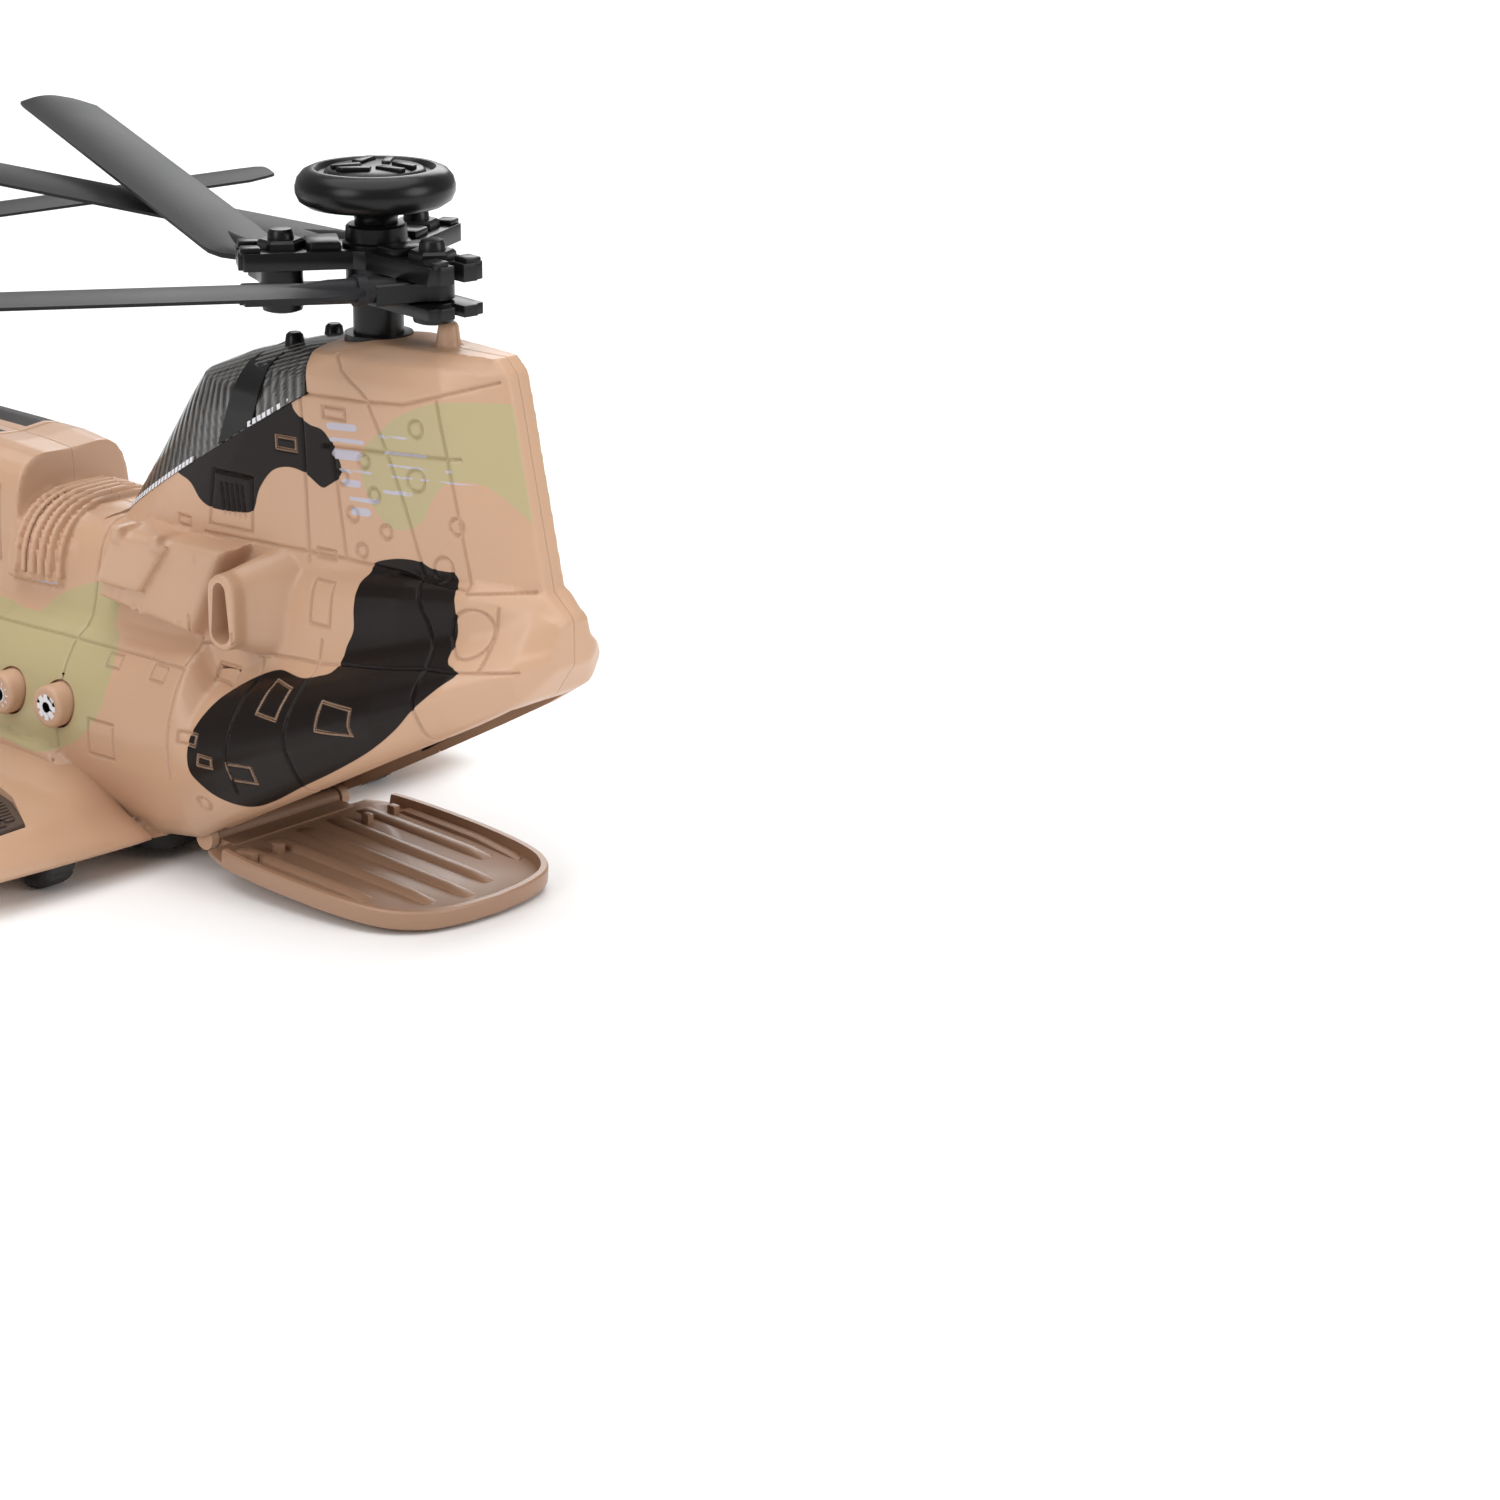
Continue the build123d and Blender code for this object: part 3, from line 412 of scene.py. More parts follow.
def pylonSide(lead, side, trail, half):
    reach = lead - side
    nose = [(side + reach * math.cos(math.radians(t)), half * math.sin(math.radians(t)))
            for t in range(0, 91, 9)]
    back = [(trail + 14.0, half * 0.55 + 1.53), (trail, 3.4)]
    return nose + back


# Smooth skin through the stations
def hullSolid():
    rings = []
    stationRows = np.array(hullStations)
    cuts = []
    for i in range(len(stationRows) - 1):
        steps = max(1, int(round((stationRows[i + 1, 0] - stationRows[i, 0]) / 4.0)))
        for s in range(steps):
            cuts.append(stationRows[i] + (stationRows[i + 1] - stationRows[i]) * s / steps)
    cuts.append(stationRows[-1])
    for a, half, low, top, deck in cuts:
        ring = outlineRing(hullOutline(half, low, top, deck), low, top, 3)
        rings.append([(place(a), y, z) for y, z in ring])
    verts, faces = skinRings(rings)
    return meshObject("hullSolid", verts, faces, tanPrinted)


def pylonSolid():
    rings = []
    rows = np.array(pylonLevels)
    for i in range(len(rows) - 1):
        steps = max(1, int(round((rows[i + 1, 0] - rows[i, 0]) / 2.0)))
        for s in range(steps):
            level, lead, side, trail, half = rows[i] + (rows[i + 1] - rows[i]) * s / steps
            points = pylonSide(lead, side, trail, half)
            ring = points + [(a, -y) for a, y in reversed(points) if y > 1e-6]
            rings.append([(place(a), y, level) for a, y in ring])
    level, lead, side, trail, half = rows[-1]
    points = pylonSide(lead, side, trail, half)
    ring = points + [(a, -y) for a, y in reversed(points) if y > 1e-6]
    rings.append([(place(a), y, level) for a, y in ring])
    verts, faces = skinRings(rings)
    return meshObject("pylonSolid", verts, faces, tanPrinted)


# Upright slot outline as (ahead, z) offsets
def slotPoints(half, bend, count=12):
    points = []
    for i in range(count + 1):
        t = math.pi * i / count
        points.append((half * math.cos(t), bend + half * math.sin(t)))
    for i in range(count + 1):
        t = math.pi + math.pi * i / count
        points.append((half * math.cos(t), -bend + half * math.sin(t)))
    return points


# Skins (ahead, z) outlines, each at its own Y
def sideLoft(name, sections, mat):
    rings = [[(place(a), y, z) for a, z in points] for y, points in sections]
    verts, faces = skinRings(rings)
    return meshObject(name, verts, faces, mat)


hatchLook = {"plate": [(60.1, 76.2), (28.2, 76.4), (39.0, 56.0), (69.5, 59.6)],
             "cover": [(62.0, 75.0), (44.0, 75.4), (53.2, 63.4), (68.0, 63.6)]}


def scaled(points, factor):
    centre = np.mean(np.array(points), axis=0)
    return [tuple(centre + (np.array(p) - centre) * factor) for p in points]


nozzleAhead = 23.5  # exhaust tube, ahead of the rear mast
dorsalLook = {"ribs": 6, "firstRib": 100.0, "ribStep": 2.6, "ribLift": 0.7, "loftStep": 0.65}
# each row: ahead of the rear mast, half width, top
dorsalRows = np.array([(66.0, 8.0, 72.6), (70.0, 10.6, 73.4), (76.0, 13.4, 74.0), (81.0, 15.6, 74.6),
                       (86.0, 17.6, 75.2), (88.5, 19.2, 75.8), (95.0, 19.8, 76.2), (101.5, 20.2, 76.4),
                       (103.5, 20.2, 76.4)])


def dorsalFairing():
    rows = []  # rounded back between the hump and the pylon, tapering aft
    lastRib = dorsalLook["firstRib"] - (dorsalLook["ribs"] - 1) * dorsalLook["ribStep"]
    margin = dorsalLook["ribStep"] / 2
    for a in np.arange(103.5, 65.9, -dorsalLook["loftStep"]):
        half, top = (float(np.interp(a, dorsalRows[:, 0], dorsalRows[:, k])) for k in (1, 2))
        if lastRib - margin < a < dorsalLook["firstRib"] + margin:
            lift = dorsalLook["ribLift"] * math.cos(2 * math.pi * (a - lastRib) / dorsalLook["ribStep"])
            half, top = half + lift, top + lift
        ring = []
        for k in range(41):
            t = math.pi * k / 40
            c, q = math.cos(t), math.sin(t)
            ring.append((place(a), half * math.copysign(abs(c) ** 0.75, c), 58.0 + (top - 58.0) * q ** 0.8))
        ring += [(place(a), -half * 0.6, 54.0), (place(a), half * 0.6, 54.0)]
        rows.append(ring)
    verts, faces = skinRings(rows)
    return meshObject("dorsal", verts, faces, tanPrinted)


def roofCone():
    rings = []
    for z, r in ((119.0, 3.6), (126.5, 2.7), (130.4, 2.3), (131.4, 1.6), (131.6, 0.6)):
        rings.append([(place(-21.0) + r * math.cos(k * math.pi / 16), r * math.sin(k * math.pi / 16), z)
                      for k in range(32)])
    verts, faces = skinRings(rings)
    return meshObject("roofCone", verts, faces, tanPrinted)


# Engine hatch with its raised cover, and the exhaust tube with an upright slot in its rim
def engineSide(side):
    plate = hatchLook["plate"]
    parts = [sideLoft("hatch", [(side * 12.0, scaled(plate, 1.16)), (side * 21.4, scaled(plate, 1.03)),
                                (side * 22.6, scaled(plate, 0.98)), (side * 23.0, scaled(plate, 0.95))],
                      tanPrinted)]
    cover = hatchLook["cover"]
    parts.append(sideLoft("cover", [(side * 20.0, cover), (side * 24.0, cover),
                                    (side * 24.6, scaled(cover, 0.985)),
                                    (side * 24.8, scaled(cover, 0.93))], tanPrinted))
    for a in (60.0, 47.5):
        lug = [(a - 1.7, 73.6), (a + 1.7, 73.6), (a + 1.4, 77.6), (a - 1.4, 77.6)]
        parts.append(sideLoft("lug", [(side * 18.0, lug), (side * 24.8, lug),
                                      (side * 25.4, scaled(lug, 0.8))], tanPrinted))
    for a, z in ((64.6, 61.8), (57.0, 59.0), (54.6, 58.4), (36.5, 73.6), (42.4, 58.0), (61.8, 61.2)):
        rivet = [(a + 0.75 * math.cos(k * math.pi / 6), z + 0.75 * math.sin(k * math.pi / 6))
                 for k in range(12)]
        parts.append(sideLoft("rivet", [(side * 20.0, rivet), (side * 23.4, rivet),
                                        (side * 23.7, scaled(rivet, 0.6))], tanPrinted))
    shape = slotPoints(4.2, 4.6)
    rows = []
    for y, grow, shift in ((12.0, 1.6, -7.0), (18.0, 1.3, -3.6), (21.5, 1.12, -1.4), (24.0, 1.0, 0.0),
                           (27.2, 0.99, 0.0), (27.8, 0.93, 0.0)):
        rows.append((side * y, [(nozzleAhead + shift + a * grow, 64.6 + z * grow) for a, z in shape]))
    parts.append(sideLoft("tube", rows, tanPrinted))
    return parts


# Flare of the hull skin over the wing root
def wingFlare(side):
    root = [(50.5, 6.4), (134.0, 6.4), (138.0, 14.0), (126.0, 22.5), (96.0, 26.0), (76.0, 23.5), (62.0, 12.0)]
    rows = [(side * 22.0, scaled(root, 1.02)), (side * 31.0, scaled(root, 0.97)),
            (side * 33.0, scaled(root, 0.90))]
    return sideLoft("flare", rows, tanPrinted)


def boxSolid(name, low, high, mat=None):
    (x0, y0, z0), (x1, y1, z1) = low, high
    verts = [(x, y, z) for x in (x0, x1) for y in (y0, y1) for z in (z0, z1)]
    faces = [(0, 1, 3, 2), (4, 6, 7, 5), (0, 4, 5, 1), (2, 3, 7, 6), (0, 2, 6, 4), (1, 5, 7, 3)]
    return meshObject(name, verts, faces, mat or tanPlain, smooth=False)


def polySolid(name, points, half):
    return prism(name, points, -half, half, axis="Y", mat=tanPrinted)


def tubeSolid(name, base, radius, length, axis="Z", mat=None, count=48):
    x, y, z = base
    rings = []
    for t in (0.0, length):
        ring = []
        for i in range(count):
            a = 2 * math.pi * i / count
            u, v = radius * math.cos(a), radius * math.sin(a)
            if axis == "Z":
                ring.append((x + u, y + v, z + t))
            elif axis == "Y":
                ring.append((x + u, y + t, z + v))
            else:
                ring.append((x + t, y + u, z + v))
        rings.append(ring)
    verts, faces = skinRings(rings)
    return meshObject(name, verts, faces, mat or tanPlain)


# panel lines on the side, as (ahead, z)
sideLines = {
    "pylonLong": [(-0.2, 123.4), (-1.9, 120.1), (-6.9, 116.3), (-8.6, 114.6), (-13.4, 104.3), (-18.5, 92.0),
                  (-23.6, 77.9), (-27.5, 69.0), (-31.0, 60.4), (-31.0, 44.0)],
    "chevron": [(10.3, 113.9), (-6.5, 114.1), (-18.3, 114.8), (-44.4, 122.8)],
    "rearBox": [(-27.0, 116.6), (-30.1, 104.2), (-36.7, 76.6), (-50.0, 77.5)],
    "crossBar": [(4.0, 102.9), (-32.9, 104.6)],
    "crossDrop": [(1.6, 103.6), (-1.3, 78.6)],
    "pylonPost": [(9.5, 76.0), (9.5, 113.0)],
    "pylonFoot": [(40.0, 78.0), (0.0, 78.3), (-36.0, 77.2)],
    "longSeam": [(276.0, 48.5), (39.0, 48.5)],
    "shoulder": [(39.0, 53.6), (20.0, 54.1), (2.5, 55.2), (-31.0, 60.4), (-52.0, 62.0)],
    "noseRing": [(254.0, 10.0), (254.0, 90.0)],
    "hump": [(97.0, 60.0), (97.0, 76.0)],
    "humpDoor": [(108.0, 60.5), (108.0, 78.0), (196.0, 80.5), (196.0, 62.0), (108.0, 60.5)],
    "doorFrame": [(214.0, 14.0), (214.0, 58.0), (236.0, 58.0), (236.0, 14.0), (214.0, 14.0)],
    "tailBulge": [(-44.0, 61.5), (-44.0, 74.0)],
}
hoopAheads = [76.0, 39.0, 20.0, 2.5, -31.0, 120.0, 150.0, 180.0, 208.0, 242.0]
smallFrames = [
    [(3.5, 111.7), (-2.5, 109.3)], [(17.3, 103.2), (11.7, 100.5)], [(6.9, 79.4), (1.8, 77.5)],
    [(49.1, 80.3), (45.1, 78.3)], [(63.5, 47.6), (59.3, 44.8)], [(48.8, 47.9), (44.1, 44.6)],
    [(33.7, 49.4), (27.5, 46.0)], [(13.2, 50.0), (6.1, 43.8)], [(-6.3, 50.0), (-15.4, 44.0)],
    [(20.0, 31.6), (13.7, 27.4)], [(29.1, 31.7), (24.7, 29.5)], [(65.4, 32.9), (57.2, 24.8)],
    [(35.9, 35.7), (30.7, 33.3)], [(6.5, 73.0), (0.4, 63.3)], [(140.0, 44.0), (132.0, 36.0)],
    [(172.0, 44.0), (164.0, 36.0)], [(204.0, 44.0), (196.0, 36.0)],
]
ringMarks = [
    (-21.6, 109.9, 1.8), (-21.5, 98.6, 2.4), (-7.2, 100.9, 1.5), (-1.1, 96.4, 1.5), (-9.8, 93.8, 1.5),
    (-3.6, 88.6, 1.5), (-12.9, 86.0, 1.5), (-32.4, 90.1, 1.8), (-5.9, 80.8, 1.5), (-28.8, 80.2, 2.6),
    (-38.9, 68.4, 5.0), (30.8, 19.3, 1.6), (122.0, 52.0, 5.5), (152.0, 52.0, 5.5), (184.0, 52.0, 5.5),
]
louvre = [(36.6, 92.8), (25.0, 92.5), (25.9, 80.0), (38.5, 80.1)]


def walkLine(points, step=0.45):
    out = []
    for (a0, z0), (a1, z1) in zip(points, points[1:]):
        n = max(1, int(math.hypot(a1 - a0, z1 - z0) / step))
        out += [(a0 + (a1 - a0) * i / n, z0 + (z1 - z0) * i / n) for i in range(n)]
    out.append(points[-1])
    return out


def framePoints(corners):
    (a0, z0), (a1, z1) = corners
    return [(a0, z0), (a1, z0), (a1, z1), (a0, z1), (a0, z0)]


def ringPoints(a, z, r):
    return [(a + r * math.cos(t * math.pi / 16), z + r * math.sin(t * math.pi / 16)) for t in range(33)]


def sideSamples():
    lines = [walkLine(p) for p in sideLines.values()]
    lines += [walkLine(framePoints(c)) for c in smallFrames]
    lines += [walkLine(ringPoints(*r), 0.4) for r in ringMarks]
    lines.append(walkLine(louvre + [louvre[0]]))
    for i in range(5):
        a = 34.2 - i * 1.5
        lines.append(walkLine([(a, 90.0), (a - 0.4, 83.4)]))
    return [p for line in lines for p in line]


# Casts side-view samples onto both flanks
def castSide(tree, samples):
    found = []
    for a, z in samples:
        for side in (-1, 1):
            hit = tree.ray_cast(Vector((place(a) * mm, side * 0.2, z * mm)), Vector((0, -side, 0)))
            if hit[0] is not None and abs(hit[0].y) > 0.004:
                found.append(hit[0])
    return found


# The side-view lines on both flanks, and every hoop round the body
def surfaceSamples(tree):
    found = castSide(tree, sideSamples())
    for a in hoopAheads:
        centre = Vector((place(a) * mm, 0, 0.045))
        for i in range(420):
            t = 2 * math.pi * i / 420
            out = Vector((0, math.cos(t), math.sin(t)))
            hit = tree.ray_cast(centre + out * 0.2, -out)
            if hit[0] is None or hit[0].z < 0.024 and a < 45.0:
                continue
            if hit[0].z > 0.0605 and abs(a) < 60.0:
                continue
            found.append(hit[0])
    return found


# Raised hoops over the dorsal fairing
def ridgeSamples(tree):
    found = []
    for i in range(dorsalLook["ribs"]):
        a = dorsalLook["firstRib"] - dorsalLook["ribStep"] * i
        centre = Vector((place(a) * mm, 0, 0.045))
        for k in range(160):
            t = math.radians(25.0 + 130.0 * k / 159)
            out = Vector((0, math.cos(t), math.sin(t)))
            hit = tree.ray_cast(centre + out * 0.2, -out)
            if hit[0] is not None and hit[0].z > 0.060:
                found.append(hit[0])
    return found


def kdOf(points):
    tree = KDTree(len(points))
    for i, p in enumerate(points):
        tree.insert(p, i)
    tree.balance()
    return tree


# Splits the faces that lie close to the samples
def refineNear(obj, tree, reach):
    bm = bmesh.new()
    bm.from_mesh(obj.data)
    edges = set()
    for f in bm.faces:
        c = f.calc_center_median()
        if tree.find(c)[2] < reach:
            edges.update(f.edges)
    bmesh.ops.subdivide_edges(bm, edges=list(edges), cuts=1, use_grid_fill=True)
    bm.to_mesh(obj.data)
    bm.free()


# Pushes the surface in (or out, for a negative depth) along the samples
def engrave(obj, tree, depth, width):
    mesh = obj.data
    count = len(mesh.vertices)
    normals = np.empty(count * 3)
    mesh.vertex_normals.foreach_get("vector", normals)
    normals = normals.reshape(-1, 3)
    coords = np.empty(count * 3)
    mesh.vertices.foreach_get("co", coords)
    coords = coords.reshape(-1, 3)
    moved = coords.copy()
    for i in range(count):
        far = tree.find(coords[i])[2] / mm
        if far < width * 3.0:
            moved[i] -= normals[i] * depth * mm * math.exp(-(far / width) ** 2)
    mesh.vertices.foreach_set("co", moved.reshape(-1))
    mesh.update()


# Distance to a closed outline in mm, positive inside, for many (ahead, z) points
def signedDistance(points, polygon):
    poly = np.array(polygon, float)
    nxt = np.roll(poly, -1, axis=0)
    best = np.full(len(points), 1e9)
    inside = np.zeros(len(points), bool)
    for (x0, y0), (x1, y1) in zip(poly, nxt):
        d = np.array([x1 - x0, y1 - y0])
        length = max(d @ d, 1e-9)
        t = np.clip(((points[:, 0] - x0) * d[0] + (points[:, 1] - y0) * d[1]) / length, 0, 1)
        gap = np.hypot(points[:, 0] - x0 - t * d[0], points[:, 1] - y0 - t * d[1])
        best = np.minimum(best, gap)
        crosses = (y0 > points[:, 1]) != (y1 > points[:, 1])
        if abs(y1 - y0) > 1e-9:
            inside ^= crosses & (points[:, 0] < (x1 - x0) * (points[:, 1] - y0) / (y1 - y0) + x0)
    return np.where(inside, best, -best)


umberShapes = [
    [(45.1, 88.4), (41.3, 85.1), (37.2, 83.9), (30.1, 84.0), (25.3, 85.2), (23.1, 90.3), (19.1, 95.0),
     (14.4, 96.6),
     (9.7, 96.0), (5.5, 93.6), (3.6, 93.7), (-1.0, 98.0), (3.1, 105.7), (7.7, 107.2), (11.6, 110.0),
     (14.0, 116.0),
     (34.0, 108.0), (52.0, 92.0)],
    [(-9.5, 78.7), (-13.9, 80.2), (-18.1, 80.9), (-22.3, 80.9), (-25.7, 79.9), (-29.6, 79.9), (-32.1, 79.7),
     (-34.1, 76.4), (-35.1, 69.8), (-35.4, 63.0), (-38.4, 61.6), (-39.6, 60.4), (-36.5, 57.6), (-30.5, 51.8),
     (-25.3, 46.5), (-18.2, 40.7), (-7.7, 34.1), (3.0, 28.1), (12.1, 22.9), (18.2, 20.5), (23.6, 21.0),
     (28.0, 23.0), (31.4, 26.9),
     (32.8, 31.2), (32.6, 35.8), (29.7, 41.6), (25.0, 46.4), (19.4, 49.7), (14.0, 51.7), (8.7, 51.7),
     (4.3, 52.1),
     (-0.1, 53.4), (-3.7, 55.1), (-5.0, 60.0), (-6.8, 64.2), (-6.7, 69.2), (-7.2, 74.3), (-8.5, 76.4)],
    [(128.0, 92.0), (118.0, 76.0), (122.0, 66.0), (134.0, 60.0), (148.0, 58.0), (158.0, 50.0), (172.0, 48.0),
     (180.0, 56.0), (176.0, 68.0), (164.0, 76.0), (158.0, 92.0)],
    [(206.0, 30.0), (214.0, 18.0), (232.0, 12.0), (244.0, 20.0), (246.0, 34.0), (236.0, 44.0), (220.0, 46.0),
     (210.0, 40.0)],
]
khakiShapes = [
    [(-12.2, 108.1), (-17.4, 112.2), (-27.9, 116.3), (-45.4, 117.0), (-56.0, 115.9), (-60.0, 100.0),
     (-56.7, 86.8),
     (-51.0, 89.1), (-43.9, 95.5), (-37.6, 99.5), (-30.9, 99.5), (-26.3, 95.9), (-23.2, 89.9), (-17.7, 87.2),
     (-12.6, 88.1), (-8.2, 92.9), (-6.6, 98.2), (-6.8, 103.1)],
    [(97.1, 51.0), (92.3, 51.5), (88.7, 54.8), (83.9, 57.5), (78.5, 59.6), (72.6, 60.6), (68.8, 60.2),
     (67.6, 58.2),
     (67.8, 55.0), (67.4, 52.0), (64.3, 50.3), (61.9, 47.6), (60.9, 43.3), (61.2, 37.4), (62.8, 34.0),
     (66.3, 29.6),
     (70.4, 26.5), (77.8, 23.2), (83.8, 22.5), (90.4, 23.5), (97.1, 24.0), (110.0, 26.0), (126.0, 32.0),
     (132.0, 42.0),
     (124.0, 50.0), (110.0, 52.0)],
    [(186.0, 62.0), (198.0, 54.0), (214.0, 56.0), (226.0, 66.0), (232.0, 82.0), (222.0, 92.0), (204.0, 88.0),
     (190.0, 76.0)],
    [(148.0, 20.0), (164.0, 16.0), (184.0, 20.0), (192.0, 32.0), (184.0, 40.0), (166.0, 38.0), (150.0, 30.0)],
]


def bestInside(points, shapes):
    values = np.full(len(points), -1e9)
    for shape in shapes:
        values = np.maximum(values, signedDistance(points, curveThrough(shape, 5)))
    return values


# Generic printed bars on the pylon side, and a few broken stripes behind them
def stripeField(points):
    fields = [np.full(len(points), -1e9)]
    for a0, z0, a1, z1, thick in (
        (2.0, 107.5, -5.0, 107.9, 1.6), (1.6, 104.6, -7.2, 105.0, 1.0), (0.6, 101.5, -5.4, 101.8, 2.2),
        (-0.6, 98.0, -9.0, 98.4, 0.8), (-1.6, 95.4, -5.6, 95.6, 1.6), (-3.0, 92.0, -10.5, 92.4, 1.0),
        (-4.0, 89.4, -8.0, 89.6, 1.8), (-12.0, 107.0, -19.0, 107.4, 0.8), (-13.0, 103.6, -24.0, 104.2, 0.6),
        (-14.0, 101.0, -31.0, 101.8, 0.5), (-15.0, 98.6, -39.0, 99.8, 0.45), (-12.6, 95.0, -20.0, 95.4, 0.9),
        (94.0, 58.0, 87.6, 58.2, 0.6),
    ):
        d = np.array([a1 - a0, z1 - z0])
        t = np.clip(((points[:, 0] - a0) * d[0] + (points[:, 1] - z0) * d[1]) / (d @ d), 0, 1)
        gap = np.hypot(points[:, 0] - a0 - t * d[0], points[:, 1] - z0 - t * d[1])
        fields.append(thick / 2 - gap)
    return np.max(np.array(fields), axis=0)


# Keeps the signed distance to each printed shape, and the groove shade, on the points of the mesh
def printShapes(obj, grooves=None, frames=None):
    mesh = obj.data
    n = len(mesh.vertices)
    co = np.empty(n * 3)
    mesh.vertices.foreach_get("co", co)
    co = co.reshape(-1, 3) / mm
    flat = np.stack([rearMastX - co[:, 0], co[:, 2]], axis=1)
    skin = np.minimum(np.abs(co[:, 1]) - 3.0, 30.0)
    for layer, values in (("umberEdge", bestInside(flat, umberShapes)),
                          ("khakiEdge", bestInside(flat, khakiShapes)),
                          ("printEdge", stripeField(flat))):
        values = np.minimum(values, skin)
        if frames and layer == "umberEdge":
            values = np.minimum(values, np.array([frames.find(p * mm)[2] / mm for p in co]) - 0.42)
        attribute = mesh.attributes.new(layer, "FLOAT", "POINT")
        attribute.data.foreach_set("value", np.clip(values, -5, 5).astype(np.float32))
    shade = mesh.attributes.new("grooveShade", "FLOAT", "POINT")
    if grooves:
        gap = np.array([grooves.find(p * mm)[2] / mm for p in co])
        shade.data.foreach_set("value", (0.8 * np.exp(-(gap / 0.30) ** 2)).astype(np.float32))


sideGaps = {  # side outline and half width of each gap through the hull
    "bay": ([(226.0, 7.9), (226.0, 48.2), (40.0, 48.2), (30.0, 20.0), (30.0, 7.9)], 22.3),
    "tailSpace": ([(20.0, 21.0), (34.0, 49.0), (16.0, 49.0), (-24.0, 53.0), (-34.0, 50.0)], 18.5),
    "windowGap": ([(79.6, 73.2), (7.4, 113.9), (7.4, 140.0), (100.0, 140.0), (100.0, 80.0), (80.6, 80.0)],
                  25.0),
    "noseGap": ([(256.0, 62.0), (262.0, 40.0), (284.0, 40.0), (292.0, 62.0), (262.0, 80.0)], 40.0),
}
buttonSpots = {"light_button": 92.3, "sound_button": 75.7}  # ahead of the rear mast
buttonHeight = 34.4
wheelSpots = {"rear": 59.0, "out": 51.0, "nose": 262.0, "axle": 7.0}


# Copy of the object kept on one side of the middle, closed at the cut
def halfOf(obj, side, name):
    copy = obj.copy()
    copy.data = obj.data.copy()
    scene.collection.objects.link(copy)
    bm = bmesh.new()
    bm.from_mesh(copy.data)
    cut = bmesh.ops.bisect_plane(bm, geom=bm.verts[:] + bm.edges[:] + bm.faces[:],
                                 plane_co=(0, side * 0.00004, 0),
                                 plane_no=(0, -side, 0), clear_outer=True)
    rim = [e for e in cut["geom_cut"] if isinstance(e, bmesh.types.BMEdge)]
    bmesh.ops.holes_fill(bm, edges=rim, sides=0)
    bm.to_mesh(copy.data)
    bm.free()
    copy.name = name
    return copy


